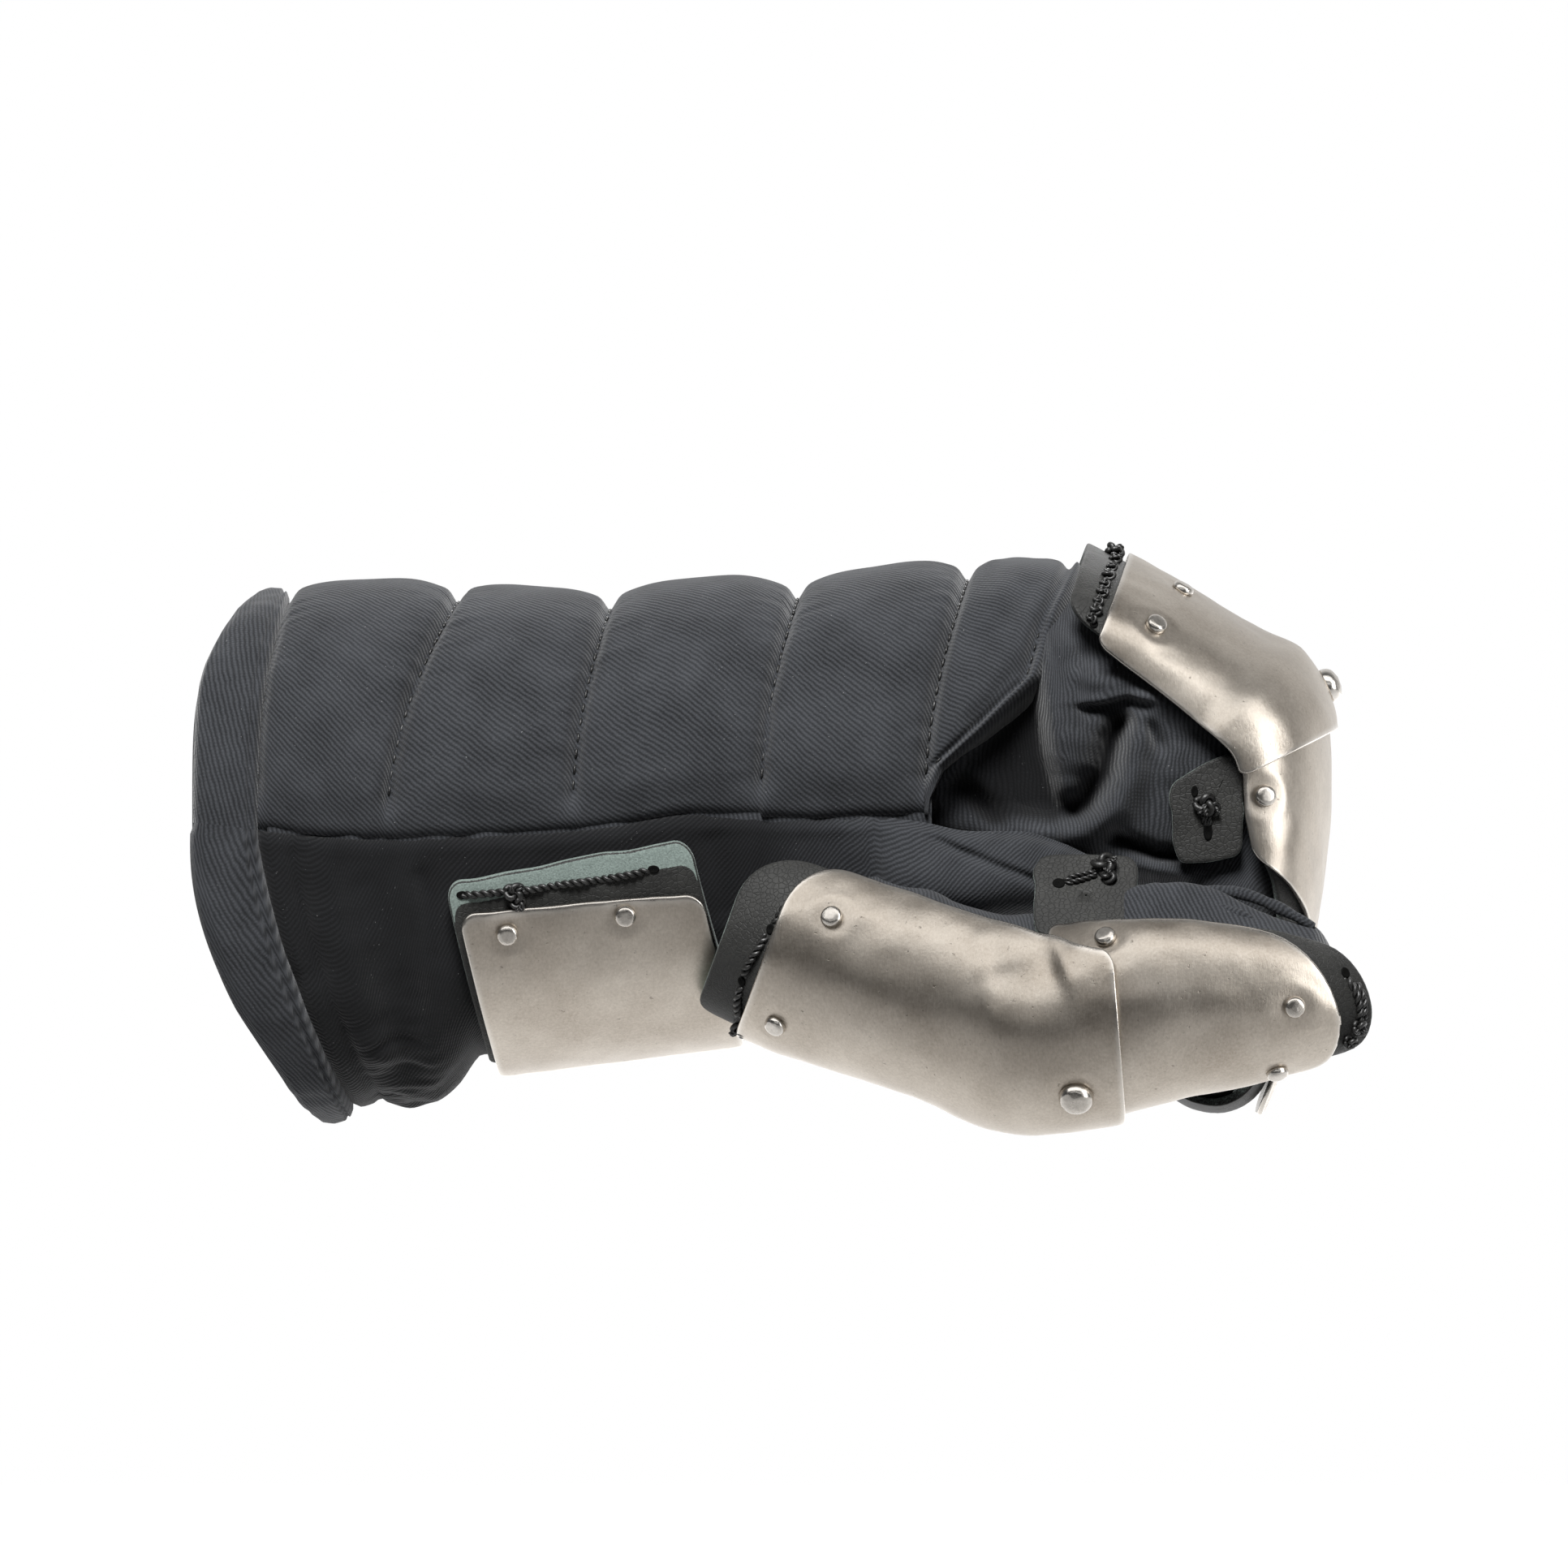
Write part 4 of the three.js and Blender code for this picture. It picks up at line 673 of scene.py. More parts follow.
def closed_end(grid, tip, steps=9):
    """A grid of rings, with more rings that close roundly on a tip."""
    centre = grid[-1].mean(0)
    t = np.sin(np.linspace(0, np.pi / 2, steps + 1)[1:])[:, None, None]
    size = np.sqrt(np.maximum(1 - t**2, 1e-5))
    return np.concatenate([grid, mix(centre, tip, t) + (grid[-1] - centre) * size])


pocket_outer = closed_end(pocket_outer, POCKET_TIP)
pocket_inner = closed_end(pocket_inner, POCKET_TIP + [-0.5, 0, CLOTH])
sunk = np.where(pocket_outer[..., 1] < 0, -gusset(pocket_outer[..., 0], pocket_outer[..., 2]), 0)
# Painted shade: cloth lying deep in a fold is later coloured darker, for the shadow there.
fold_shade = ease(0.5, 7.0, sunk)  # how far down a fold the cloth lies, which darkens it later
pocket = outward(shell("pocket_cloth", [pocket_outer, pocket_inner], ring=True, rims=[fold_shade, 1]))
pieces["pocket"] = dress(pocket, "cloth", "finger_pocket")

# %% [markdown]
# ## The thumb stall
#
# The thumb has a sleeve of cloth inside its leather. Only its upper side shows, with the
# two seams that close it, which stand up as thin rolls above the plates.

# %% Thumb stall
THUMB = table(
    "x z y lean radius",
    (20, -15.6, -33.0, 20, 21.0),
    (34, -20.6, -38.5, 20, 22.5),
    (48.5, -25.6, -44.0, 20, 23.0),
    (64, -30.8, -49.5, 19, 22.8),
    (80, -36.2, -54.5, 15, 22.3),
    (92, -39.2, -57.5, 8, 21.9),
    (104, -38.4, -60.5, -2, 21.5),
    (116, -35.6, -62.0, -7, 21.2),
    (127.5, -34.2, -62.5, -8, 20.0),
    (138, -33.8, -62.5, -8, 18.1),
    (148, -33.6, -62.0, -8, 16.0),
    (157, -34.2, -61.0, -6, 13.6),
    (166, -35.2, -59.0, -4, 9.5),
)
LEATHER = 2.5
PLATE_GAP = 0.6
STALL_SET_IN = LEATHER + PLATE_GAP + 0.3


def thumb_skin(place, angle, out):
    """Points round the thumb: angle 0 towards -Y, 90 above and -90 below."""
    lean = np.radians(column(THUMB, "lean", place))
    radius = column(THUMB, "radius", place) + out
    up = radius * np.sin(np.radians(angle))
    x = column(THUMB, "x", place) + up * np.sin(lean)
    y = column(THUMB, "y", place) - radius * np.cos(np.radians(angle))
    z = column(THUMB, "z", place) + up * np.cos(lean)
    return np.stack(np.broadcast_arrays(x, y, z), -1)


def stall_skin(place, angle, out):
    inner = out - STALL_SET_IN
    turned = (angle - 102 + 180) % 360 - 180
    ridge = mix(5, 8, ease(5.4, 6.4, place)) * ease(3.6, 5.0, place)
    ridge = ridge * mix(1, 0.45, ease(8.2, 10, place)) * hill(turned, 19)
    wrinkle = 0.5 * wander(place * 2.4, angle / 26, 71) + 0.3 * wander(place * 5, angle / 30, 72)
    points = thumb_skin(place, angle, inner + ridge + wrinkle)
    to_fingers = np.maximum(0, -np.cos(np.radians(angle)))
    radius = column(THUMB, "radius", place) + inner
    points[..., 1] -= to_fingers * radius * 0.3
    points[..., 1] += 15 * (1 - ease(0.9, 3.0, place))
    return points


stall_place = np.linspace(1.2, 10.6, 90)[:, None]
stall_angle = np.linspace(0, 360, 130, endpoint=False)[None, :]
stall_tip = stall_skin(np.float64(11.2), np.float64(0), 0) * [1, 0, 1] - [0.5, 58, 0]
stall_outer = closed_end(stall_skin(stall_place, stall_angle, 0), stall_tip)
stall_inner = closed_end(stall_skin(stall_place, stall_angle, -CLOTH), stall_tip - [CLOTH, 0, 0])
stall = outward(shell("thumb_stall_cloth", [stall_outer, stall_inner], ring=True))
pieces["stall"] = dress(stall, "cloth", "thumb_stall")

# %% [markdown]
# ## Sheets with round corners
#
# Plates and leathers lie on the thumb, the fingers and the wrist like tiles on a form. Each
# follows a skin between two places and two edge angles. Its outline is drawn once at full
# size and again a little smaller, at the top of the rounded edge, so a bevel follows the
# whole outline and no modifier has to guess at it.

# %% Sheets on a skin
def arc(grid_row_skin, place, low, high):
    """The length of a skin between two angles, at every place."""
    s = np.linspace(0, 1, 25)[None, :]
    points = grid_row_skin(place[:, None], mix(low[:, None], high[:, None], s), 0.0)
    return np.linalg.norm(np.diff(points, axis=1), axis=-1).sum(1)


def crowded(count, share=0.35):
    """Shares from 0 to 1 that lie closer together at both ends."""
    s = np.linspace(0, 1, count)
    return mix(s, 0.5 - 0.5 * np.cos(np.pi * s), share)


def sheet(name, skin, places, edges, height, thick, corners, bevel, step=1.25, across=72,
          relief=None, ragged=0.2, seed=1, cut_rims=(1, 1, 1, 1, 1), rim_reach=1.6, suede=0.0):
    """A sheet of some thickness on a skin, with round corners and a rounded edge."""
    start, end = places
    trial = np.linspace(start, end, 500)
    low, high = (np.interp(trial, edges["place"], edges[side]) for side in ("low", "high"))
    line = skin(trial, (low + high) / 2, 0.0)
    far = np.concatenate([[0], np.cumsum(np.linalg.norm(np.diff(line, axis=0), axis=-1))])
    length = far[-1]
    turns = 1 - np.cos(np.linspace(0, np.pi / 2, 12))
    middle = np.arange(corners[0], length - corners[1], step)[1:]
    rows = np.concatenate([turns * corners[0], middle, length - turns[::-1] * corners[1]])
    s = crowded(across)[None, :]

    def outline(smaller, up):
        run = mix(smaller, length - smaller, rows / length)
        place = np.interp(run, far, trial)
        cut = np.full(len(run), smaller)
        for off, corner in ((run, corners[0]), (length - run, corners[1])):
            radius = corner - smaller
            gone = np.clip(radius - (off - smaller), 0, radius)
            cut = np.maximum(cut, smaller + radius - np.sqrt(radius**2 - gone**2))
        row = np.interp(place, edges["place"], np.arange(len(edges["place"])))
        low, high = column(edges, "low", row), column(edges, "high", row)
        width = arc(skin, place, low, high)
        cut = np.minimum(cut + ragged * (1 + wander(run / 7, run * 0, seed)), width * 0.47)
        turn = (high - low) * cut / width
        angle = mix((low + turn)[:, None], (high - turn)[:, None], s)
        lift = height(place[:, None]) if callable(height) else height
        points = skin(place[:, None], angle, lift + up)
        if relief is not None:
            points = skin(place[:, None], angle, lift + up + relief(points))
        to_side = np.minimum(s, 1 - s) * (width - 2 * cut)[:, None]
        to_end = np.minimum(run, length - run)[:, None] + 0 * s
        to_top = (1 - s) * (width - 2 * cut)[:, None]
        return points, np.minimum(to_side, to_end), to_top

    turned = (0, 0.5, 1.05, math.pi / 2)
    round_over = [(bevel * (1 - math.sin(a)), thick - bevel * (1 - math.cos(a))) for a in turned]
    layers = [outline(smaller, up) for smaller, up in round_over]
    layers += [outline(0.0, bevel * 0.6), outline(bevel * 0.6, 0.0)]
    _, edge_far, top_far = layers[0]
    top = cut_rims[0] * (1 - ease(0, rim_reach, edge_far))
    if suede:
        top = np.maximum(top, 1 - ease(suede - 0.3, suede + 0.3, top_far))
    return outward(shell(name, [layer[0] for layer in layers], rims=[top, *cut_rims]))


print("a corner of 4 mm takes", round(4 - math.sqrt(16 - 9), 2), "mm off the side 1 mm along")

# %% [markdown]
# ## Rivet places
#
# The rivets come before the plates, because each one pulls a shallow dish into its plate.

# %% The forms under the plates, and the rivets' places
BASE_FORM = table(
    "x palm_edge seam top bottom half_width",
    (-60, 0, 0, 53, -52.2, 49.2),
    (-38, 0, 0, 53, -49.6, 48.8),
    (0, 2.3, 2.3, 53, -45.2, 47.4),
    (28, 4.4, 4.4, 53, -41.8, 46.9),
    (50, 4.4, 4.4, 53, -39.2, 46.9),
)
FINGERS = table(
    "crown_x crown_z edge_x edge_z half_width square",
    (101.6, 65.6, 94.5, 44.0, 45.5, 2.1),
    (112.2, 60.5, 104.6, 40.6, 46.0, 2.1),
    (120.9, 55.8, 112.0, 35.6, 46.3, 2.1),
    (135.1, 47.3, 122.0, 28.0, 46.5, 2.1),
    (145.5, 40.6, 129.0, 22.2, 46.5, 2.1),
    (151.2, 34.0, 133.0, 18.3, 46.5, 2.2),
    (154.3, 27.0, 135.0, 14.8, 46.3, 2.3),
    (155.3, 18.5, 135.6, 10.5, 46.0, 2.4),
    (155.5, 8.6, 136.0, 4.5, 45.5, 2.5),
    (154.4, -2.0, 136.8, -4.0, 45.0, 2.7),
    (152.3, -18.7, 135.5, -20.0, 44.0, 2.8),
    (148.5, -35.6, 132.5, -35.0, 42.5, 2.8),
    (144.3, -50.5, 130.0, -47.0, 41.0, 2.8),
    (140.8, -57.2, 129.0, -49.5, 40.0, 2.7),
    (134.5, -60.9, 127.5, -50.5, 39.0, 2.6),
    (127.5, -60.6, 125.5, -50.5, 38.5, 2.5),
    (121.0, -57.2, 122.5, -50.0, 38.0, 2.5),
)
FINGERTIP_START = 4
FINGERTIP = {name: values[FINGERTIP_START:13] for name, values in FINGERS.items()}
for name, value in zip(FINGERTIP, (140.2, -61.0, 126.5, -57.0, 40.5, 2.8)):
    FINGERTIP[name] = np.append(FINGERTIP[name], value)


def base_skin(place, angle, out):
    """The side of the wrist: place 0 to 1 towards the thumb, angle 360 at the seam."""
    down = np.abs(np.sin(np.radians(angle)))
    x = mix(mix(-37.5, -25.5, down), mix(15.5, 28.5, down), place)
    line = dict(x_top=x, x_seam=x, x_bottom=x, bow_top=1, bow_bottom=1)
    return body_skin(line, angle, out, BASE_FORM)


def arch_skin(rows, place, angle, out):
    """Across the fingers: angle 0 on the crown, -90 at the thumb-side edge."""
    at = {name: column(rows, name, place) for name in rows}
    deep_x, deep_z = at["crown_x"] - at["edge_x"], at["crown_z"] - at["edge_z"]
    depth = np.hypot(deep_x, deep_z)
    lift = (depth + out) / depth * power(np.cos(np.radians(angle)), 2 / at["square"])
    wide = (at["half_width"] + out) * power(np.sin(np.radians(angle)), 2 / at["square"])
    return np.stack(np.broadcast_arrays(at["edge_x"] + deep_x * lift, wide, at["edge_z"] + deep_z * lift), -1)


def finger_skin(place, angle, out):
    return arch_skin(FINGERS, place, angle, out)


def fingertip_skin(place, angle, out):
    return arch_skin(FINGERTIP, place - FINGERTIP_START, angle, out)


STEEL = 1.2
BASE_LEATHER_LIFT = 1.1
BASE_PLATE_LIFT = BASE_LEATHER_LIFT + LEATHER + PLATE_GAP
LAPPED = PLATE_GAP + STEEL + PLATE_GAP + 0.4


def thumb_plate_height(place):
    return mix(PLATE_GAP, LAPPED, ease(3.4, 4.6, place))


def knuckle_plate_height(place):
    return mix(PLATE_GAP, LAPPED, ease(3.4, 4.4, place))


def level(height):
    return lambda place: height + 0 * place


ON_BASE = (base_skin, level(BASE_PLATE_LIFT))
ON_THUMB = (thumb_skin, thumb_plate_height)
ON_TIP = (thumb_skin, level(PLATE_GAP))
ON_KNUCKLE = (finger_skin, knuckle_plate_height)
ON_FINGERTIP = (fingertip_skin, level(PLATE_GAP))
RIVETS = {
    "base_rivet_1": (ON_BASE, 0.18, 339),
    "base_rivet_2": (ON_BASE, 0.67, 341),
    "thumb_rivet_1": (ON_THUMB, 1.74, 17),
    "thumb_rivet_2": (ON_THUMB, 1.52, -51),
    "thumb_joint_rivet": (ON_THUMB, 5.7, -44),
    "thumb_tip_rivet_1": (ON_TIP, 6.3, 43),
    "thumb_tip_rivet_2": (ON_TIP, 9.9, -11),
    "thumb_tip_rivet_3": (ON_TIP, 9.34, -68),
    "finger_joint_rivet": (ON_KNUCKLE, 5.5, 0),
}
PAIRED = {
    "knuckle_rivet_{}_1": (ON_KNUCKLE, 2.1, 60),
    "knuckle_rivet_{}_2": (ON_KNUCKLE, 2.25, 22),
    "fingertip_rivet_{}_1": (ON_FINGERTIP, 7.6, 78),
    "fingertip_rivet_{}_2": (ON_FINGERTIP, 11.4, 13),
}
for name, (on, place, angle) in PAIRED.items():
    RIVETS[name.format("near")] = (on, place, -angle)
    RIVETS[name.format("far")] = (on, place, angle)


def standing(skin, place, angle, height):
    """A point on a skin, the way along it and the way straight out of it."""
    place, angle = np.float64(place), np.float64(angle)
    point = skin(place, angle, height)
    along = skin(place + 0.02, angle, height) - skin(place - 0.02, angle, height)
    out = skin(place, angle, height + 1.0) - skin(place, angle, height - 1.0)
    across = skin(place, angle + 1, height) - skin(place, angle - 1, height)
    normal = np.cross(along, across)
    normal *= np.sign(np.dot(normal, out)) / np.linalg.norm(normal)
    return point, along / np.linalg.norm(along), normal


rivet_places = {}
for name, ((skin, height), place, angle) in RIVETS.items():
    rivet_places[name] = standing(skin, place, angle, float(height(np.float64(place))) + STEEL)
print(len(rivet_places), "rivets")

# %% [markdown]
# ## The steel plates
#
# Mild steel, cut, dished over a form with a hammer and then sanded. So no plate is quite
# even: it has soft hammer hollows that bend its reflections, and its edges are a little
# wavy. The big thumb plate has a creased dish over the thumb's middle joint.

# %% Steel plates
def dished(points, strength, seed):
    """Hammer hollows, and a shallow dish round each rivet."""
    x, y, z = np.moveaxis(points, -1, 0)
    broad = wander((x + y * 0.6) / 11, z / 11, seed)
    relief = strength * (broad + 0.45 * wander(x / 5, (z + y) / 5, seed + 1))
    for name, (spot, _, _) in rivet_places.items():
        reach = 5.5 if "joint" in name else 4.2
        away = np.linalg.norm(points - spot, axis=-1)
        relief = relief - 0.42 * hill(away, reach) + 0.14 * hill(away - reach * 1.25, 1.2)
    return relief


def base_relief(points):
    return dished(points, 0.22, 101)


def thumb_relief(points):
    x, y, z = np.moveaxis(points, -1, 0)
    crease = ridge(x, z, [(97, -26), (89, -29), (80, -30)], -1.5, 7.5)
    return dished(points, 0.3, 111) + crease


def tip_relief(points):
    x, y, z = np.moveaxis(points, -1, 0)
    pip = 0.55 * hill(np.hypot(x - 152, z + 41.6), 0.7)
    return dished(points, 0.26, 121) + pip * (y < -60)


def knuckle_relief(points):
    return dished(points, 0.28, 131)


def fingertip_relief(points):
    return dished(points, 0.26, 141)


BEVEL = 0.42
plates = {
    "thumb_base_plate": sheet(
        "base_steel", base_skin, (0, 1.0), table("place low high", (0, 279, 345), (1, 279, 345)),
        BASE_PLATE_LIFT, STEEL, (4, 4), BEVEL, relief=base_relief, seed=1,
    ),
    "thumb_plate": sheet(
        "thumb_steel", thumb_skin, (1.02, 6.42),
        table(
            "place low high", (0, -112, 48), (4, -112, 48), (5, -112, 46), (5.7, -112, 39),
            (6.6, -110, 30),
        ),
        thumb_plate_height, STEEL, (14, 3.5), BEVEL, relief=thumb_relief, seed=2,
    ),
    "thumb_tip_plate": sheet(
        "thumb_tip_steel", thumb_skin, (4.95, 11.02),
        table("place low high", (5, -108, 62), (6, -108, 62), (7, -106, 52), (9, -98, 48), (12, -86, 44)),
        PLATE_GAP, STEEL, (4, 17.5), BEVEL, relief=tip_relief, seed=3,
    ),
    "knuckle_plate": sheet(
        "knuckle_steel", finger_skin, (0.98, 6.62),
        table("place low high", (0, -88, 88), (3, -89, 89), (7, -89, 89)),
        knuckle_plate_height, STEEL, (3.5, 3.5), BEVEL, across=124, relief=knuckle_relief, seed=4,
    ),
    "fingertip_plate": sheet(
        "fingertip_steel", fingertip_skin, (4.75, 13),
        table(
            "place low high", (4, -87, 87), (8.6, -88, 88), (9.1, -84, 84), (9.5, -62, 62),
            (10, -34, 34), (11, -24, 24), (13, -22, 22),
        ),
        PLATE_GAP, STEEL, (4, 9), BEVEL, step=1.0, across=124, relief=fingertip_relief, seed=5,
    ),
}
for node, plate in plates.items():
    pieces[node] = dress(plate, "steel", node)

# %% [markdown]
# ## The leathers
#
# Thick vegetable-tanned leather, dyed black on its grain side. Its flesh side and cut edges
# stay a grey-green suede, which shows along the base leather's top edge and at the rims.

# %% Leathers
def leather_relief(seed):
    def relief(points):
        x, y, z = np.moveaxis(points, -1, 0)
        return 0.16 * wander(x / 8, (z + y) / 8, seed) + 0.08 * wander(x / 2.5, (z + y) / 2.5, seed + 1)

    return relief


LEATHER_BEVEL = 0.55
SUEDE = dict(cut_rims=(0.25, 0.45, 0.8, 1, 1), rim_reach=0.7)
straps = {
    "thumb_base_leather": sheet(
        "base_strap", base_skin, (-0.03, 1.0), table("place low high", (-0.1, 286, 351.5), (1, 286, 357)),
        BASE_LEATHER_LIFT, LEATHER, (4, 4), LEATHER_BEVEL,
        relief=leather_relief(201), ragged=0.3, seed=11, suede=3.6, **SUEDE,
    ),
    "thumb_leather": sheet(
        "thumb_strap", thumb_skin, (0.42, 11.75),
        table(
            "place low high", (0, -104, 52), (3, -104, 52), (5, -104, 62), (7, -102, 58),
            (9, -96, 58), (12, -90, 58),
        ),
        -LEATHER, LEATHER - 0.6, (15, 13), LEATHER_BEVEL,
        relief=leather_relief(211), ragged=0.3, seed=12, **SUEDE,
    ),
    "finger_leather": sheet(
        "finger_strap", finger_skin, (0.25, 16),
        table(
            "place low high", (0, -74, 74), (1, -82, 82), (8.8, -86, 86), (9.5, -70, 70),
            (10.5, -50, 50), (12, -42, 42), (16, -38, 38),
        ),
        -LEATHER, LEATHER - 0.3, (7, 7), LEATHER_BEVEL, step=1.5, across=104,
        relief=leather_relief(221), ragged=0.3, seed=13, cut_rims=(0.1, 0.3, 0.4, 0.5, 0.5),
        rim_reach=0.7,
    ),
}


def leather_tab(name, outline, corner, thick, place_point):
    """A flat tab of leather with round corners: place_point sets its flat points in space."""
    count = len(outline)
    rounded = []
    for i, here in enumerate(np.array(outline, float)):
        before, after = np.array(outline[i - 1], float), np.array(outline[(i + 1) % count], float)
        start = here + (before - here) / np.linalg.norm(before - here) * corner
        end = here + (after - here) / np.linalg.norm(after - here) * corner
        for t in np.linspace(0, 1, 9):
            rounded.append(mix(mix(start, here, t), mix(here, end, t), t))
    loop = np.array(rounded)
    steps = np.linalg.norm(np.roll(loop, -1, 0) - loop, axis=-1)
    far = np.concatenate([[0], np.cumsum(steps)])
    closed = np.concatenate([loop, loop[:1]])
    run = np.linspace(0, far[-1], 160, endpoint=False)
    loop = np.stack([np.interp(run, far, closed[:, k]) for k in (0, 1)], -1)
    loop = loop + 0.25 * np.stack([wander(run / 3, run * 0, 15), wander(run / 3, run * 0, 16)], -1)
    centre = loop.mean(0)
    rings = [0.02, 0.2, 0.4, 0.6, 0.78, 0.9, 0.96, 1.0]
    size = np.array(rings)[:, None, None]

    def layer(smaller, up):
        reach = np.linalg.norm(loop - centre, axis=-1, keepdims=True)
        flat = centre + (loop - centre) * size * (1 - smaller / reach)
        bumps = 0.15 * wander(flat[..., 0] / 5, flat[..., 1] / 5, 17)
        return place_point(flat[..., 0], flat[..., 1], up + bumps)

    rounded_edge = [(0.5, thick), (0.15, thick - 0.15), (0, thick - 0.5), (0, 0.3), (0.3, 0)]
    layers = [layer(smaller, up) for smaller, up in rounded_edge]
    rims = [np.repeat([[0], [0], [0], [0], [0], [0], [0.05], [0.2]], 160, 1), 0.35, 0.6, 1.0, 1.0]
    return outward(shell(name, layers, ring=True, rims=rims))


def thumb_tab_point(u, v, up):
    """The thumb's tab leans in over the thumb from its foot on the strap's edge."""
    lean = math.radians(90 - 42)
    off = up - LEATHER / 2
    y = v * math.cos(lean) - off * math.sin(lean)
    z = v * math.sin(lean) + off * math.cos(lean)
    return np.stack([91.2 + u, -68.5 + y, -22.5 + z], -1)


def finger_tab_point(side):
    return lambda u, v, up: np.stack([u, side * (43.2 + up), v], -1)


FINGER_TAB = [(137, 16.5), (132.5, 18.2), (120.6, 11.5), (122.2, -5.6), (128.9, -5.8), (137, -3.8)]
tabs = [
    (
        "thumb_leather",
        leather_tab("thumb_tab", [(0, 0), (22.6, 0), (22.6, 24), (0, 24)], 4.5, LEATHER, thumb_tab_point),
    ),
    ("finger_leather", leather_tab("finger_tab_near", FINGER_TAB, 2.6, LEATHER, finger_tab_point(-1))),
    ("finger_leather", leather_tab("finger_tab_far", FINGER_TAB, 2.6, LEATHER, finger_tab_point(1))),
]
for node, strap in straps.items():
    pieces[node] = dress(strap, "leather", node)
for node, flap in tabs:
    pieces[flap.name] = dress(flap, "leather", node)

# %% [markdown]
# ## The rivets
#
# Small pan heads hold the plates, and two big domes sit at the joints. Each head was set
# by hand, so it is a many-sided thing rather than a turned one. A ring of flats is cut into
# each head: every flat is a plane that the round form can't pass.

# %% Rivets
def rivet(name, node, radius, height, shank, shank_length, flats, seed):
    """A head and its shank, standing on its plate."""
    point, along, normal = rivet_places[node]
    rng = np.random.default_rng(seed)
    side = np.cross(normal, along)
    around = np.linspace(0, 2 * np.pi, 48, endpoint=False)[None, :]
    up = np.linspace(0, 1, 22)[:, None]
    bulge = np.sin(up * np.pi / 2)
    r = radius * np.cos(up * np.pi / 2) ** (0.75 if flats > 8 else 0.42)
    head = np.stack(np.broadcast_arrays(r * np.cos(around), r * np.sin(around), height * bulge), -1)
    for _ in range(flats):
        turn, tip = rng.uniform(0, 2 * np.pi), rng.uniform(0.1, 0.9)
        plane = np.array([np.cos(turn) * np.sin(tip), np.sin(turn) * np.sin(tip), np.cos(tip)])
        reach = (head @ plane).max() * rng.uniform(0.955, 0.985)
        over = np.maximum(head @ plane - reach, 0)[..., None]
        head = head - over * plane * 0.9
    foot = [(radius * 0.97, -0.25), (shank, -0.3), (shank, -shank_length), (0.01, -shank_length)]
    rows = [head[::-1]]
    for r, z in foot:
        rows.append(np.stack([r * np.cos(around), r * np.sin(around), z + 0 * around], -1))
    grid = np.concatenate(rows)
    placed = point + grid[..., :1] * along + grid[..., 1:2] * side + grid[..., 2:] * normal
    index = np.arange(grid.shape[0] * grid.shape[1]).reshape(grid.shape[:2])
    faces = grid_faces(index, ring=True).reshape(-1, 4)
    rim = np.repeat(np.clip(1 - grid[..., 2] / height, 0, 1).mean(1), grid.shape[1])
    made = outward(make_object(name, placed.reshape(-1, 3), faces, None, rim))
    return made


for k, node in enumerate(RIVETS):
    if "joint" in node:
        made = rivet(node + "_head", node, 3.85, 3.0, 2.0, 3.6, 16, 300 + k)
    else:
        made = rivet(node + "_head", node, 2.45, 1.5, 1.4, 3.4, 5, 300 + k)
    pieces[node] = dress(made, "rivet_steel", node)

# %% [markdown]
# ## Cords
#
# Waxed cord laces the leather onto the cloth. It is two strands twisted together, so each
# strand is a thin tube that winds round the lace's own path. A path is drawn by a few
# points seen from the side and dropped onto the leather, like laying a cord by hand.

# %% Paths and tubes
def flowing(points, step=0.35):
    """A smooth curve through points, cut into even steps."""
    points = np.array(points, float)
    rows = dict(zip("xyz", points.T))
    place = np.linspace(0, len(points) - 1, 60 * len(points))
    fine = np.stack([column(rows, name, place) for name in "xyz"], -1)
    far = np.concatenate([[0], np.cumsum(np.linalg.norm(np.diff(fine, axis=0), axis=-1))])
    even = np.linspace(0, far[-1], max(4, int(far[-1] / step)))
    return np.stack([np.interp(even, far, fine[:, k]) for k in range(3)], -1)


def frames(path):
    """The way along a path, and two directions across it that turn as little as they can."""
    along = np.gradient(path, axis=0)
    along /= np.linalg.norm(along, axis=-1, keepdims=True)
    first = np.cross(along[0], [0.3, 0.2, 0.9])
    across = [first / np.linalg.norm(first)]
    for way in along[1:]:
        side = across[-1] - way * np.dot(across[-1], way)
        across.append(side / np.linalg.norm(side))
    across = np.array(across)
    return along, across, np.cross(along, across)


def tube(path, radius, sides=8):
    """Points and faces of a tube along a path, closed at both ends."""
    _, across, up = frames(path)
    turn = np.linspace(0, 2 * np.pi, sides, endpoint=False)[None, :, None]
    radius = np.broadcast_to(radius, (len(path),)).astype(float).copy()
    radius[[0, -1]] *= 0.35
    ring = across[:, None] * np.cos(turn) + up[:, None] * np.sin(turn)
    points = (path[:, None] + ring * radius[:, None, None]).reshape(-1, 3)
    index = np.arange(len(points)).reshape(len(path), sides)
    faces = grid_faces(index, ring=True).reshape(-1, 4).tolist()
    faces += [index[0].tolist(), index[-1][::-1].tolist()]
    return points, faces


def joined(name, parts, slot, *nodes):
    """One object from many tubes."""
    points, faces, count = [], [], 0
    for part_points, part_faces in parts:
        points.append(part_points)
        faces += [[k + count for k in face] for face in part_faces]
        count += len(part_points)
    mesh = bpy.data.meshes.new(name)
    mesh.from_pydata((np.concatenate(points) * MM).tolist(), [], faces)
    mesh.validate()
    mesh.shade_smooth()
    piece = bpy.data.objects.new(name, mesh)
    bpy.context.scene.collection.objects.link(piece)
    pieces[name] = dress(outward(piece), slot, *nodes)
    return piece


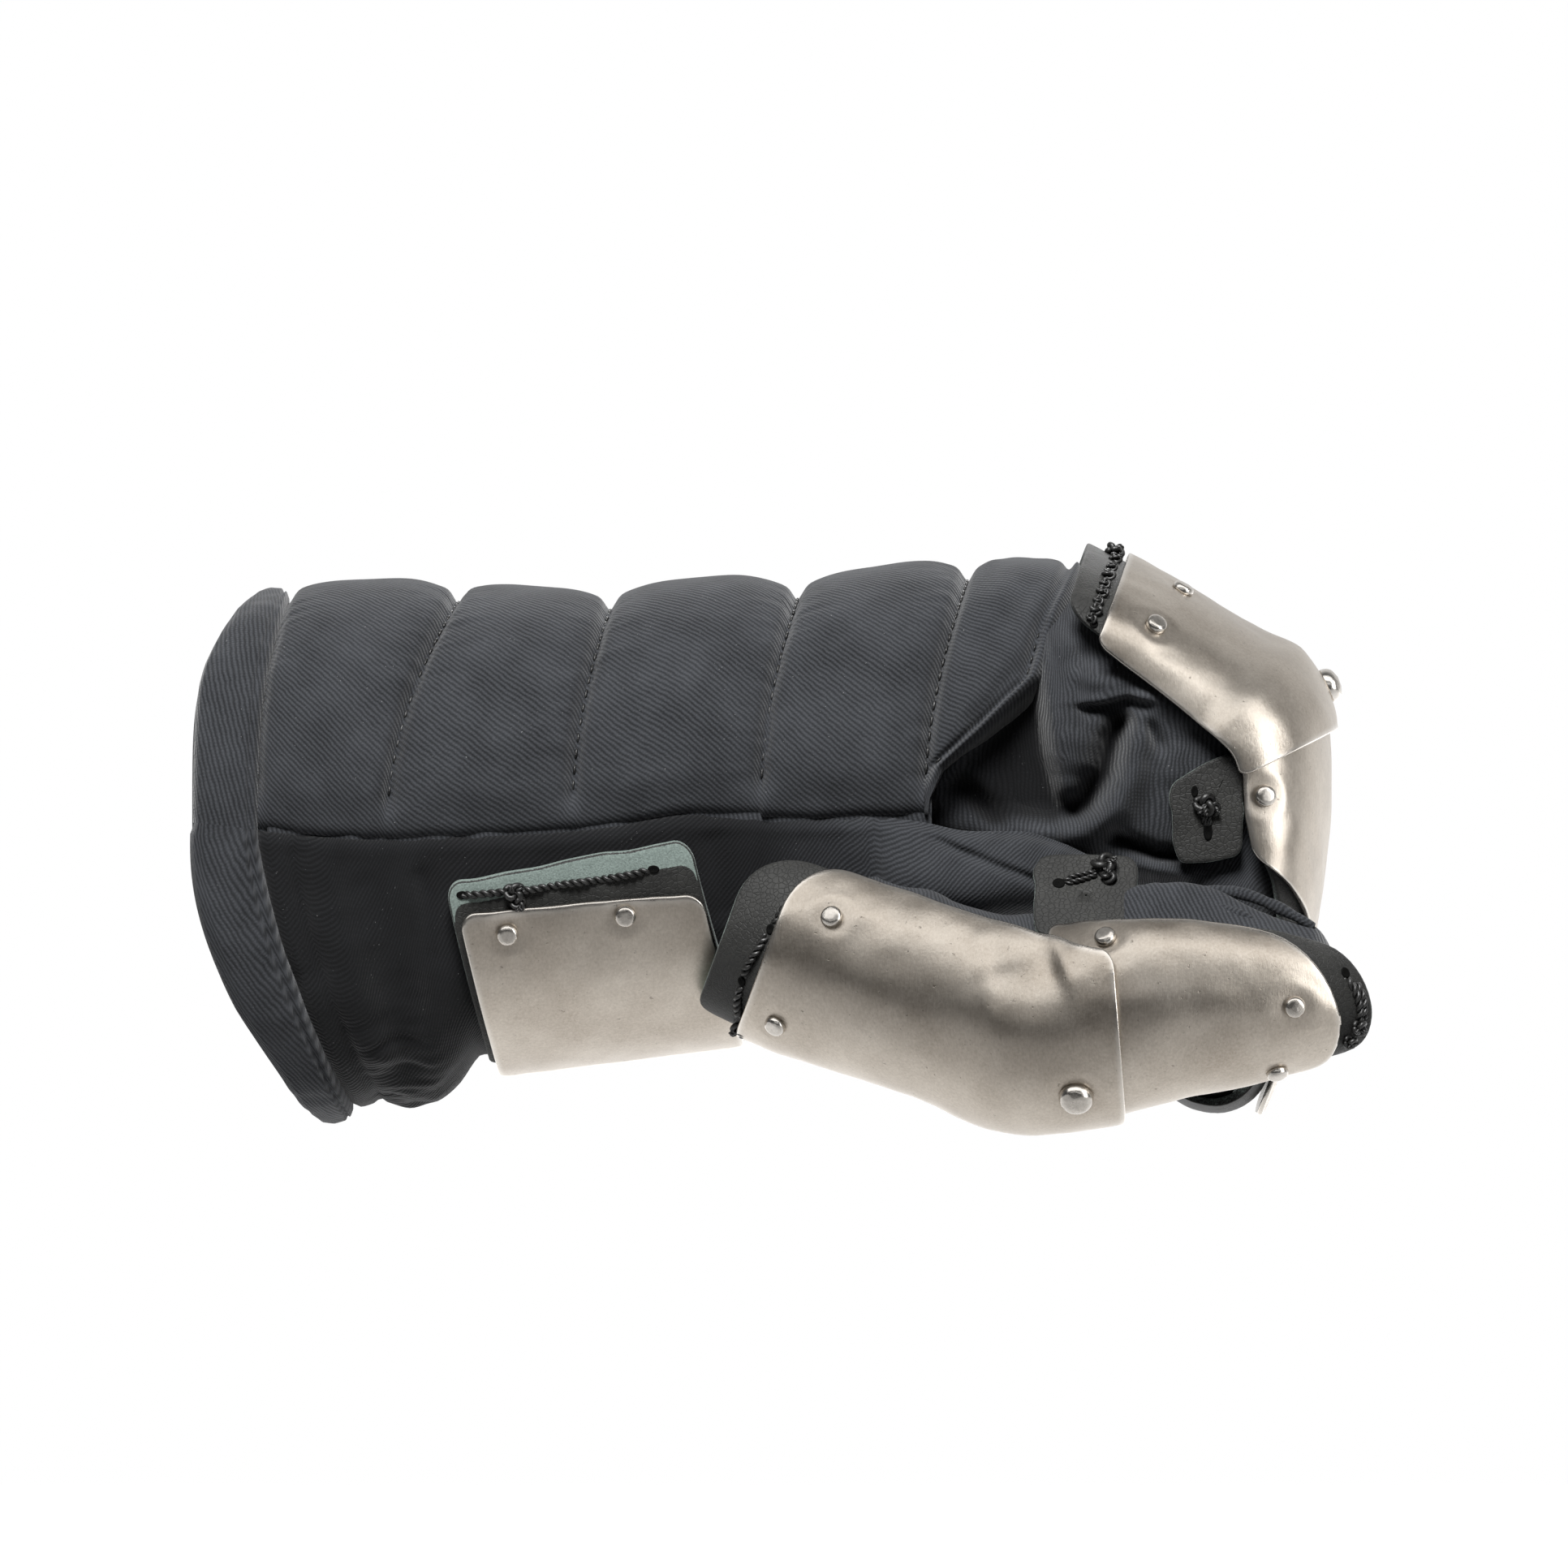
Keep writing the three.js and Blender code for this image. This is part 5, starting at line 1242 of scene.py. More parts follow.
def twisted(points, strand=0.42, pitch=3.4, strands=2):
    """The strands of a cord along a path through points."""
    path = flowing(points, 0.3)
    _, across, up = frames(path)
    far = np.arange(len(path)) * 0.3
    parts = []
    for k in range(strands):
        turn = (2 * np.pi * (far / pitch + k / strands))[:, None]
        parts.append(tube(path + (across * np.cos(turn) + up * np.sin(turn)) * strand * 0.95, strand, 7))
    return parts


def knot(point, normal, size, seed):
    """A small tight knot: a cord that winds over itself, with two short frayed ends."""
    rng = np.random.default_rng(seed)
    normal = np.array(normal) / np.linalg.norm(normal)
    side = np.cross(normal, [0.2, 0.1, 1.0])
    side /= np.linalg.norm(side)
    other = np.cross(normal, side)
    t = np.linspace(0, 2 * np.pi, 90)
    big = size * 0.27
    wobble = 1 + 0.15 * np.sin(2 * t + rng.uniform(0, 6))
    x = big * (np.cos(2 * t) * (1 + 0.55 * np.cos(3 * t))) * wobble
    y = big * (np.sin(2 * t) * (1 + 0.55 * np.cos(3 * t)))
    z = big * (0.75 * np.sin(3 * t) + 0.55)
    path = point + x[:, None] * side + y[:, None] * other + z[:, None] * normal
    parts = [tube(path, size * 0.145, 8)]
    for _ in range(2):
        way = rng.uniform(-1, 1, 3)
        way = way - normal * way.dot(normal) + normal * 0.7
        way /= np.linalg.norm(way)
        base = point + normal * big * 0.9
        ends = [base, base + way * size * 0.35, base + way * size * 0.62 - normal * size * 0.12]
        parts += twisted(ends, size * 0.06, 2.0)
    return parts


def surface(*names):
    """The pieces' outer surfaces, to drop points onto."""
    found = []
    for name in names:
        mesh = pieces[name].data
        corners = [vertex.co for vertex in mesh.vertices]
        found.append(BVHTree.FromPolygons(corners, [tuple(face.vertices) for face in mesh.polygons]))
    return found


def dropped(trees, x, z, lift=0.0, side=-1):
    """The point of some pieces nearest to the side at x and z, and the way out of it."""
    best, way = None, None
    for tree in trees:
        start, towards = Vector((x * MM, side * 0.2, z * MM)), Vector((0, -side, 0))
        hit, normal, _, _ = tree.ray_cast(start, towards)
        if hit is not None and (best is None or side * hit.y > side * best.y):
            best, way = hit, normal if normal.y * side > 0 else -normal
    if best is None:
        raise ValueError(f"nothing lies at {x}, {z}")
    return np.array(best) / MM + np.array(way) * lift, np.array(way)


print("a knot of 5 mm has", sum(len(part[1]) for part in knot(np.zeros(3), (0, -1, 0), 5, 1)), "faces")

# %% [markdown]
# ## The lacing
#
# The cord runs along the leather's edge: out of one punched hole, along the surface and
# into the next. A knot holds each end. Where the cord goes in, the hole is a shallow funnel
# coloured near black: painted shade for the depth of the hole.

# %% Lacing
def punched(name, trees, spots):
    """Punched holes: a short funnel at each spot, set in the leather's surface, dark as painted shade."""
    parts = []
    for x, z, wide, tall in spots:
        point, normal = dropped(trees, x, z)
        side = np.cross(normal, [0, 0, 1.0])
        side /= np.linalg.norm(side)
        up = np.cross(side, normal)
        turn = np.linspace(0, 2 * np.pi, 20, endpoint=False)[None, :]
        rings = [(1.0, 0.05), (0.9, 0.3), (0.7, 0.3), (0.45, 0.2), (0.05, 0.15)]
        grid = [
            point + (np.cos(turn) * wide * size / 2).T * side
            + (np.sin(turn) * tall * size / 2).T * up + normal * high
            for size, high in rings
        ]
        index = np.arange(100).reshape(5, 20)
        parts.append((np.concatenate(grid), grid_faces(index, ring=True).reshape(-1, 4).tolist()))
    return joined(name, parts, "leather")


def laid(trees, spots, lift=0.45):
    """Points on the leather for a cord, from places seen from the side. A third number
    raises or sinks the cord there."""
    return [dropped(trees, spot[0], spot[1], spot[2] if len(spot) > 2 else lift)[0] for spot in spots]


on_base = surface("thumb_base_leather")
BASE_RUNS = [
    [(-33.4, -12.8, -0.6), (-31, -12.7), (-27, -12.3), (-23.5, -12.0)],
    [
        (-20.5, -11.8), (-17, -11.4), (-14, -10.9, -0.3), (-11, -10.4), (-7, -9.9),
        (-3.5, -9.5, -0.3), (0, -8.9), (4, -8.2), (8, -7.3, -0.6),
    ],
]
base_cord = []
for run in BASE_RUNS:
    base_cord += twisted(laid(on_base, run), 0.5)
point, normal = dropped(on_base, -22, -12.2, 0.3)
base_cord += knot(point, normal, 4.7, 1) + knot(point + [1.0, 0, -2.4], normal, 3.4, 2)
joined("base_lacing", base_cord, "lacing")
punched("base_holes", on_base, [
    (-33.4, -12.8, 2.6, 1.8), (8.3, -7.2, 2.6, 1.8), (-14, -10.9, 1.6, 1.3), (-3.5, -9.5, 1.6, 1.3),
])

on_thumb = surface("thumb_leather")
thumb_cord = []
for run in (
    [(43.5, -9.6, -0.5), (41, -11.8), (37.5, -15.2), (34.6, -19, -0.4)],
    [(33.0, -21.4, -0.4), (31.2, -24.6), (29.2, -28), (27.9, -30.6, -0.4)],
    [(27.3, -32.6, -0.4), (26.9, -35.6), (27.2, -39.0)],
):
    thumb_cord += twisted(laid(on_thumb, run), 0.55)
point, normal = dropped(on_thumb, 27.8, -41.4, 0.3)
thumb_cord += knot(point, normal, 4.6, 3)
for run in (
    [(158.9, -30.4, -0.5), (160.6, -33.5), (161.6, -37), (161.6, -40)],
    [(161, -31.5, -0.3), (162.4, -35), (162.4, -39.5)],
):
    thumb_cord += twisted(laid(on_thumb, run), 0.5)
for k, (x, z, size) in enumerate([(161.3, -41.2, 3.8), (159.4, -44.2, 3.4)]):
    point, normal = dropped(on_thumb, x, z, 0.3)
    thumb_cord += knot(point, normal, size, 5 + k)
joined("thumb_lacing", thumb_cord, "lacing")
punched("thumb_holes", on_thumb, [
    (33.8, -20.2, 1.9, 2.4), (27.6, -31.6, 1.9, 2.4), (43.6, -9.4, 2.0, 1.6), (158.7, -29.6, 2.2, 2.6),
])

on_tab = surface("thumb_tab")
tab_cord = []
for rise in (0.5, -0.6):
    run = [
        (97.4, -10.0 + rise * 0.3, -0.4), (99.5, -9.6 + rise), (102.3, -8.9 + rise),
        (105, -8.2 + rise * 0.6),
    ]
    tab_cord += twisted(laid(on_tab, run), 0.34, 2.6)
point, normal = dropped(on_tab, 106.7, -6.9, 0.3)
tab_cord += knot(point, normal, 5.4, 8)
point, normal = dropped(on_tab, 107.4, -9.2, 0.3)
tab_cord += knot(point, normal, 3.6, 9)
joined("thumb_tab_lacing", tab_cord, "lacing")
punched("thumb_tab_holes", on_tab, [(96.6, -10.2, 2.8, 2.8), (108.4, -9.4, 2.0, 2.0)])

on_flap = surface("finger_tab_near")
flap_cord = []
for shift in (-0.7, 0.0, 0.7):
    run = [(129.3 + shift * 0.4, 2.0, -0.4), (129.0 + shift, 4.0), (128.8 + shift * 0.6, 6.2)]
    flap_cord += twisted(laid(on_flap, run), 0.32, 2.4)
for k, (x, z, size) in enumerate([(128.8, 7.0, 5.0), (130.6, 6.0, 3.2)]):
    point, normal = dropped(on_flap, x, z, 0.3)
    flap_cord += knot(point, normal, size, 11 + k)
joined("finger_tab_lacing", flap_cord, "lacing")
punched("finger_tab_holes", on_flap, [(129.3, 1.0, 2.0, 4.0), (126.4, 9.8, 1.5, 2.6)])

on_strap = surface("finger_leather")
whip = []
whip_line = flowing([(104.6, 0, 47.4), (106.2, 0, 51.5), (108, 0, 56), (109.8, 0, 60.4)], 1.75)
for k, (x, _, z) in enumerate(whip_line):
    point, normal = dropped(on_strap, x - 0.6, z, 0.2)
    whip += knot(point, normal, 2.5 + 0.5 * (k % 2), 20 + k)
crown_point, _, crown_normal = standing(finger_skin, 0.72, -6, 0.2)
whip += knot(crown_point, crown_normal, 4.4, 40)
joined("knuckle_lacing", whip, "lacing")
punched("knuckle_holes", on_strap, [(104.4, 46.4, 1.9, 2.3)])

# %% [markdown]
# ## Stitches
#
# A strong black thread runs down each quilting valley in short stitches, and along the
# rolled edge of the knuckle padding. Each stitch is a little tube that sinks at both ends.

# %% Stitches
def stitched(across, low, high, lift, long=2.3, gap=1.3, thick=0.3):
    """Stitches round the padded back, where `across` gives how far forward they lie."""
    angle = np.linspace(low, high, 900)
    fine = body_at(across(angle), angle, lift)
    far = np.concatenate([[0], np.cumsum(np.linalg.norm(np.diff(fine, axis=0), axis=-1))])
    parts = []
    for start in np.arange(0, far[-1] - long, long + gap):
        run = np.linspace(start, start + long, 7)
        path = np.stack([np.interp(run, far, fine[:, k]) for k in range(3)], -1)
        middle_of_body = np.array([path[3][0], 0, 5])
        inward = middle_of_body - path[3]
        inward /= np.linalg.norm(inward)
        sink = (np.abs(np.linspace(-1, 1, 7)) ** 3)[:, None]
        parts.append(tube(path + inward * sink * 0.5, thick, 6))
    return parts


quilt_thread = []
for line in QUILTING[1:]:
    quilt_thread += stitched(lambda angle, line=line: line_x(line, angle), 8, 172, -1.75)
joined("quilt_stitches", quilt_thread, "lacing")
edge_thread = stitched(lambda angle: knuckle_x(angle) - 3.0, 10, 170, 0.0, 1.7, 1.5, 0.2)
joined("knuckle_stitches", edge_thread, "lacing")

# %% [markdown]
# ## The thumb's rolled seams
#
# The two seams of the thumb stall end above the plates as rolled edges of twill. They are
# tubes with an uneven radius, thinner at their ends.

# %% Rolled seams
def rolled(name, points, radius, seed):
    path = flowing(points, 0.5)
    far = np.arange(len(path)) * 0.5
    thick = radius * (1 + 0.16 * wander(far / 5, far * 0, seed) + 0.08 * wander(far / 1.6, far * 0, seed + 1))
    _, across, up = frames(path)
    turn = np.linspace(0, 2 * np.pi, 16, endpoint=False)[None, :, None]
    thick[[0, -1]] *= 0.4
    out = across[:, None] * np.cos(turn) + up[:, None] * np.sin(turn)
    grid = path[:, None] + out * thick[:, None, None]
    inside = path[:, None] + (grid - path[:, None]) * 0.3
    return outward(shell(name, [grid, inside], ring=True, rims=[0, 0]))


UPPER_ROLL = [
    (110, -57, -12.2), (114.7, -57.5, -11.8), (121, -58, -12.9), (128, -58.5, -12.0), (135, -59, -12.2),
    (141, -60, -14.0), (149, -61, -17.9), (152, -60, -20),
]
LOWER_ROLL = [
    (110, -61, -14.2), (114.7, -61.5, -14.2), (124, -62, -14.9), (129.5, -62.5, -15.2), (136, -63, -17.2),
    (141, -63, -20),
]
upper_roll = rolled("thumb_roll_upper", UPPER_ROLL, 1.25, 81)
lower_roll = rolled("thumb_roll_lower", LOWER_ROLL, 1.15, 83)
for roll in (upper_roll, lower_roll):
    pieces[roll.name] = dress(roll, "cloth")

# %% [markdown]
# ## Writing materials as sums
#
# A material is a network of nodes, which is slow to read as boxes and wires. Here a `Wire`
# holds one socket, and `+`, `-` and `*` on wires add the Math nodes. A `Finish` is one
# material: `node` adds any other node, with its settings first and then its inputs.

# %% Wires and finishes
class Wire:
    """A socket of a material that can be used in sums."""

    def __init__(self, tree, socket):
        self.tree, self.socket = tree, socket

    def maths(self, operation, *values):
        node = self.tree.nodes.new("ShaderNodeMath")
        node.operation = operation
        for slot, value in zip(node.inputs, values):
            plug(self.tree, slot, value)
        return Wire(self.tree, node.outputs[0])

    def __add__(self, other):
        return self.maths("ADD", self, other)

    def __sub__(self, other):
        return self.maths("SUBTRACT", self, other)

    def __rsub__(self, other):
        return self.maths("SUBTRACT", other, self)

    def __mul__(self, other):
        return self.maths("MULTIPLY", self, other)

    __radd__, __rmul__ = __add__, __mul__

    def sine(self):
        return self.maths("SINE", self)

    def at_most(self, other):
        return self.maths("MINIMUM", self, other)

    def at_least(self, other):
        return self.maths("MAXIMUM", self, other)


def plug(tree, slot, value):
    """Links a wire to a socket, or sets the socket's own value."""
    if isinstance(value, Wire):
        tree.links.new(value.socket, slot)
    else:
        slot.default_value = value


class Finish:
    """One material, with a Principled shader whose fixed values are set on its own sockets."""

    def __init__(self, name, **fixed):
        self.material = bpy.data.materials.new(name)
        self.material.use_nodes = True
        self.tree = self.material.node_tree
        self.tree.nodes.clear()
        self.shader = self.tree.nodes.new("ShaderNodeBsdfPrincipled")
        output = self.tree.nodes.new("ShaderNodeOutputMaterial")
        self.tree.links.new(self.shader.outputs[0], output.inputs[0])
        for socket, value in fixed.items():
            self.shader.inputs[socket.replace("_", " ")].default_value = value

    def node(self, kind, settings=None, inputs=None, output=0):
        node = self.tree.nodes.new("ShaderNode" + kind)
        for key, value in (settings or {}).items():
            setattr(node, key, value)
        for key, value in (inputs or {}).items():
            plug(self.tree, node.inputs[key], value)
        return Wire(self.tree, node.outputs[output])

    def noise(self, place, scale, detail=2.0, roughness=0.5):
        inputs = {"Vector": place, "Scale": scale, "Detail": detail, "Roughness": roughness}
        return self.node("TexNoise", inputs=inputs)

    def blend(self, factor, first, second):
        """A colour between two others."""
        settings = {"data_type": "RGBA"}
        return self.node("Mix", settings, {0: factor, 6: first, 7: second}, output=2)

    def steps(self, value, low, high):
        """0 below low, 1 above high."""
        inputs = {"Value": value, "From Min": low, "From Max": high}
        return self.node("MapRange", {"clamp": True}, inputs)

    def set(self, **varying):
        for socket, value in varying.items():
            plug(self.tree, self.shader.inputs[socket.replace("_", " ")], value)

    def bump(self, height, distance, strength=1.0):
        inputs = {"Height": height, "Distance": distance, "Strength": strength}
        self.set(Normal=self.node("Bump", inputs=inputs))

    def weave_place(self):
        """Millimetres along and round the cloth, as a vector and as two numbers."""
        place = self.node("UVMap", {"uv_map": "weave"})
        split = self.tree.nodes.new("ShaderNodeSeparateXYZ")
        plug(self.tree, split.inputs[0], place)
        return place, Wire(self.tree, split.outputs[0]), Wire(self.tree, split.outputs[1])

    def object_place(self):
        return self.node("TexCoord", output=3)

    def point_value(self, name):
        return self.node("Attribute", {"attribute_name": name}, output=2)


def colour(red, green, blue):
    """A colour as seen on a screen, 0 to 255, as light."""
    def light(value):
        value = value / 255
        return value / 12.92 if value <= 0.04045 else ((value + 0.055) / 1.055) ** 2.4

    return (light(red), light(green), light(blue), 1)


print("mid grey is", round(colour(128, 128, 128)[0], 3), "of white")

# %% [markdown]
# ## Black cotton twill
#
# Twill has diagonal ribs, about one to a millimetre. Each rib is a row of short floats, so
# it is crossed by a finer beat. Cotton is matt, with a soft sheen at its edges, and black
# cloth always carries a little pale lint.

# %% Twill
# Over this many millimetres the painted shade towards the cuff ramps in.
CUFF_SHADE_RAMP = 30


def twill(name, along, round_, dark, pale, lint=0.6, cuff_shade_from=None, deep=False):
    """Black twill: along and round_ are how many ribs a millimetre crosses either way.

    With a cuff distance given, the cloth is painted darker towards the cuff, from that many
    millimetres forward of the origin to the ramp's width nearer. With `deep`, it is painted
    darker at the bottom of the folds, and its ribs wander. Both are painted shade: darkness that
    is largely shadow on the real object, so it stays in any light."""
    made = Finish(name, Sheen_Weight=0.2, Sheen_Roughness=0.45, IOR=1.4, Specular_IOR_Level=0.25)
    place, u, v = made.weave_place()
    bend = made.noise(place, 0.4, 3) * 0.75
    if deep:
        bend = bend + made.noise(place, 0.045, 2) * 9
    rib = ((u * along + v * round_ + bend) * (2 * math.pi)).sine() * 0.5 + 0.5
    beat = ((u * (-round_ * 1.3) + v * (along * 1.3) + bend) * (2 * math.pi)).sine() * 0.5 + 0.5
    thread = made.noise(place, 3.2, 2)
    height = rib * 0.7 + beat * rib * 0.35 + thread * 0.5
    worn = made.noise(place, 0.07, 4, 0.6)
    tone = made.steps(rib * 0.42 + beat * rib * 0.1 + thread * 0.5 + worn * 0.7, 0.4, 1.35)
    fluff = made.noise(place, 1.9, 3, 0.65)
    patches = made.noise(place, 0.13, 2)
    flecks = made.steps(fluff + patches * 0.22, 0.83, 0.87) * lint
    shade = made.blend(tone, dark, pale)
    # Painted shade: towards the cuff the cloth is coloured darker, where shadow falls on it.
    if cuff_shade_from is not None:
        split = made.tree.nodes.new("ShaderNodeSeparateXYZ")
        plug(made.tree, split.inputs[0], made.object_place())
        cuff_shade = made.steps(Wire(made.tree, split.outputs[0]) * -1000.0, -cuff_shade_from, CUFF_SHADE_RAMP - cuff_shade_from) * 0.85
        shade = made.blend(cuff_shade, shade, colour(7, 7, 8))
    # Painted shade: the pocket's cloth is darkened where it lies deep in a fold.
    if deep:
        shade = made.blend(made.point_value("rim") * 0.9, shade, colour(5, 5, 6))
    made.set(Base_Color=made.blend(flecks, shade, colour(200, 200, 200)))
    made.set(Roughness=0.95 - tone * 0.1)
    made.bump(height, 0.00014, 0.75)
    return made.material


BLACK = colour(20, 21, 23)
RIB_BLACK = colour(68, 70, 74)
quilt_twill = twill("quilt_twill", 0.62, 0.78, BLACK, RIB_BLACK)
knuckle_twill = twill("knuckle_twill", 0.2, 0.97, BLACK, RIB_BLACK)
# The palm carries painted shade towards the cuff.
palm_twill = twill("palm_twill", 0.55, -0.83, BLACK, RIB_BLACK, cuff_shade_from=62)
side_twill = twill("side_twill", 0.95, 0.25, BLACK, RIB_BLACK)
pocket_twill = twill("pocket_twill", 0.95, 0.25, BLACK, RIB_BLACK, deep=True)
print("twill:", len(quilt_twill.node_tree.nodes), "nodes")

# %% [markdown]
# ## Satin steel
#
# Sanded along one way and left bare. Fine scratches run along the sanding, small pits hold
# dark, and handling has polished the edges brighter. The steel looks warm, since a thin
# film of oil and rust has toned it.

# %% Steel and rivets
def bare_steel(name, dark, pale, rough, grit=1.0):
    made = Finish(name, Specular_IOR_Level=0.5)
    made.set(Metallic=1.0)
    place = made.object_place()
    stretched = made.node("Mapping", inputs={"Vector": place, "Scale": (1, 1, 0.16)})
    sanding = made.noise(stretched, 2600, 3, 0.65)
    grain = made.noise(place, 1500, 2, 0.6)
    cloudy = made.noise(place, 55, 4, 0.6)
    pits = made.steps(made.noise(place, 700, 3, 0.7), 0.66, 0.74)
    edge = made.point_value("rim")
    tone = made.steps(cloudy * 0.7 + grain * 0.35 + sanding * 0.3, 0.45, 0.95)
    metal = made.blend(tone, dark, pale)
    metal = made.blend(edge * 0.55, metal, colour(232, 228, 222))
    metal = made.blend(pits * 0.5, metal, colour(70, 62, 54))
    made.set(Base_Color=metal)
    made.set(Roughness=rough + cloudy * 0.14 + grain * 0.08 - edge * 0.1)
    made.bump((sanding * 0.6 + grain * 0.6 - pits * 0.8) * grit, 0.00005, 0.8)
    return made.material


plate_steel = bare_steel("plate_steel", colour(168, 158, 146), colour(214, 206, 195), 0.27)
head_steel = bare_steel("head_steel", colour(176, 170, 162), colour(226, 221, 214), 0.18, 0.5)
print("steel:", len(plate_steel.node_tree.nodes), "nodes")

# %% [markdown]
# ## Leather
#
# The grain side is dull black with fine pebbling and a few scuffs. Cut edges and the flesh
# side are grey-green suede, and the value `rim` says where they are.

# %% Leather
def strap_leather(name):
    made = Finish(name, Sheen_Weight=0.08, Specular_IOR_Level=0.4)
    place = made.object_place()
    pebble = made.node("TexVoronoi", {"feature": "DISTANCE_TO_EDGE"}, {"Vector": place, "Scale": 900})
    fine = made.noise(place, 2600, 3, 0.6)
    broad = made.noise(place, 90, 4, 0.6)
    suede = made.steps(made.point_value("rim") + (fine - 0.5) * 0.5 + (broad - 0.5) * 0.5, 0.4, 0.62)
    tone = made.steps(broad * 0.6 + fine * 0.5, 0.35, 0.95)
    creases = 1 - made.steps(pebble, 0.0, 0.12)
    grain = made.blend(tone, colour(18, 18, 17), colour(50, 50, 47))
    grain = made.blend(creases * 0.5, grain, colour(14, 14, 13))
    flesh = made.blend(fine, colour(52, 62, 58), colour(150, 164, 158))
    made.set(Base_Color=made.blend(suede, grain, flesh))
    made.set(Roughness=0.6 + suede * 0.3 + fine * 0.1)
    made.bump((1 - creases) * (0.6 - suede * 0.6) + fine * (0.35 + suede * 1.0), 0.00016, 0.7)
    return made.material


black_leather = strap_leather("black_leather")
print("leather:", len(black_leather.node_tree.nodes), "nodes")

# %% [markdown]
# ## Waxed cord and holes
#
# Wax makes the cord blacker and shinier than the cloth, with small bright glints.

# %% Cord
def waxed_cord(name):
    made = Finish(name, Specular_IOR_Level=0.6, Coat_Roughness=0.3)
    place = made.object_place()
    fibre = made.noise(place, 2200, 3, 0.7)
    broad = made.noise(place, 260, 2, 0.5)
    made.set(Base_Color=made.blend(made.steps(fibre, 0.45, 0.75), colour(9, 9, 9), colour(46, 45, 43)))
    made.set(Roughness=0.3 + broad * 0.35, Coat_Weight=made.steps(broad, 0.4, 0.7) * 0.5)
    made.bump(fibre, 0.00012, 0.8)
    return made.material


# Painted shade: a near-black finish for the punched holes, standing in for the shadow inside them.
def painted_hole_shade(name):
    made = Finish(name, Specular_IOR_Level=0.1)
    hole_shade_noise = made.noise(made.object_place(), 1500, 2)
    made.set(Base_Color=made.blend(hole_shade_noise, colour(2, 2, 2), colour(9, 9, 8)), Roughness=0.9 - hole_shade_noise * 0.1)
    return made.material


hole_shade_black = painted_hole_shade("painted_hole_shade")
black_cord = waxed_cord("black_cord")
print("cord:", len(black_cord.node_tree.nodes), "nodes")

# %% Put the finishes on
FINISHES = {
    "back": quilt_twill, "knuckle": knuckle_twill, "hem": side_twill, "palm": palm_twill,
    "pocket": pocket_twill, "stall": side_twill,
}
for name, piece in pieces.items():
    slot = piece["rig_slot"]
    by_slot = {
        "leather": black_leather, "steel": plate_steel, "rivet_steel": head_steel,
        "lacing": black_cord,
    }
    finish = by_slot.get(slot)
    # The holes take the painted shade finish.
    if "holes" in name:
        finish = hole_shade_black
    piece.data.materials.append(finish or FINISHES.get(name, side_twill))
print("finished", len(pieces), "pieces")

# %% [markdown]
# ## The studio
#
# A pale floor well below, and white all round, as in a light tent that is open towards the
# camera. Polished and satin steel show the room rather than the lamp, so what the steel
# needs is a bright sky, a dark front and a bright table behind it. The cloth needs one soft
# key from above. So each lamp is flagged, to light only what it is there for.

# %% Studio
def flat_board(name, corners):
    mesh = bpy.data.meshes.new(name)
    mesh.from_pydata(corners, [], [tuple(range(len(corners)))])
    board = bpy.data.objects.new(name, mesh)
    bpy.context.scene.collection.objects.link(board)
    return board


white = Finish("studio_white", Roughness=0.9)
paint = white.noise(white.object_place(), 3.0, 2)
white.set(Base_Color=white.blend(paint, colour(238, 238, 238), colour(244, 244, 244)))
FLOOR_DROP = 0.105  # the gauntlet is held this far above the floor
FLOOR = cad_low.z - FLOOR_DROP
FLOOR_PLAN = [(-0.9, -0.4), (1.0, -0.4), (1.0, 1.0), (-0.9, 1.0)]
floor = flat_board("studio_floor", [(x, y, FLOOR) for x, y in FLOOR_PLAN])
floor.data.materials.append(white.material)


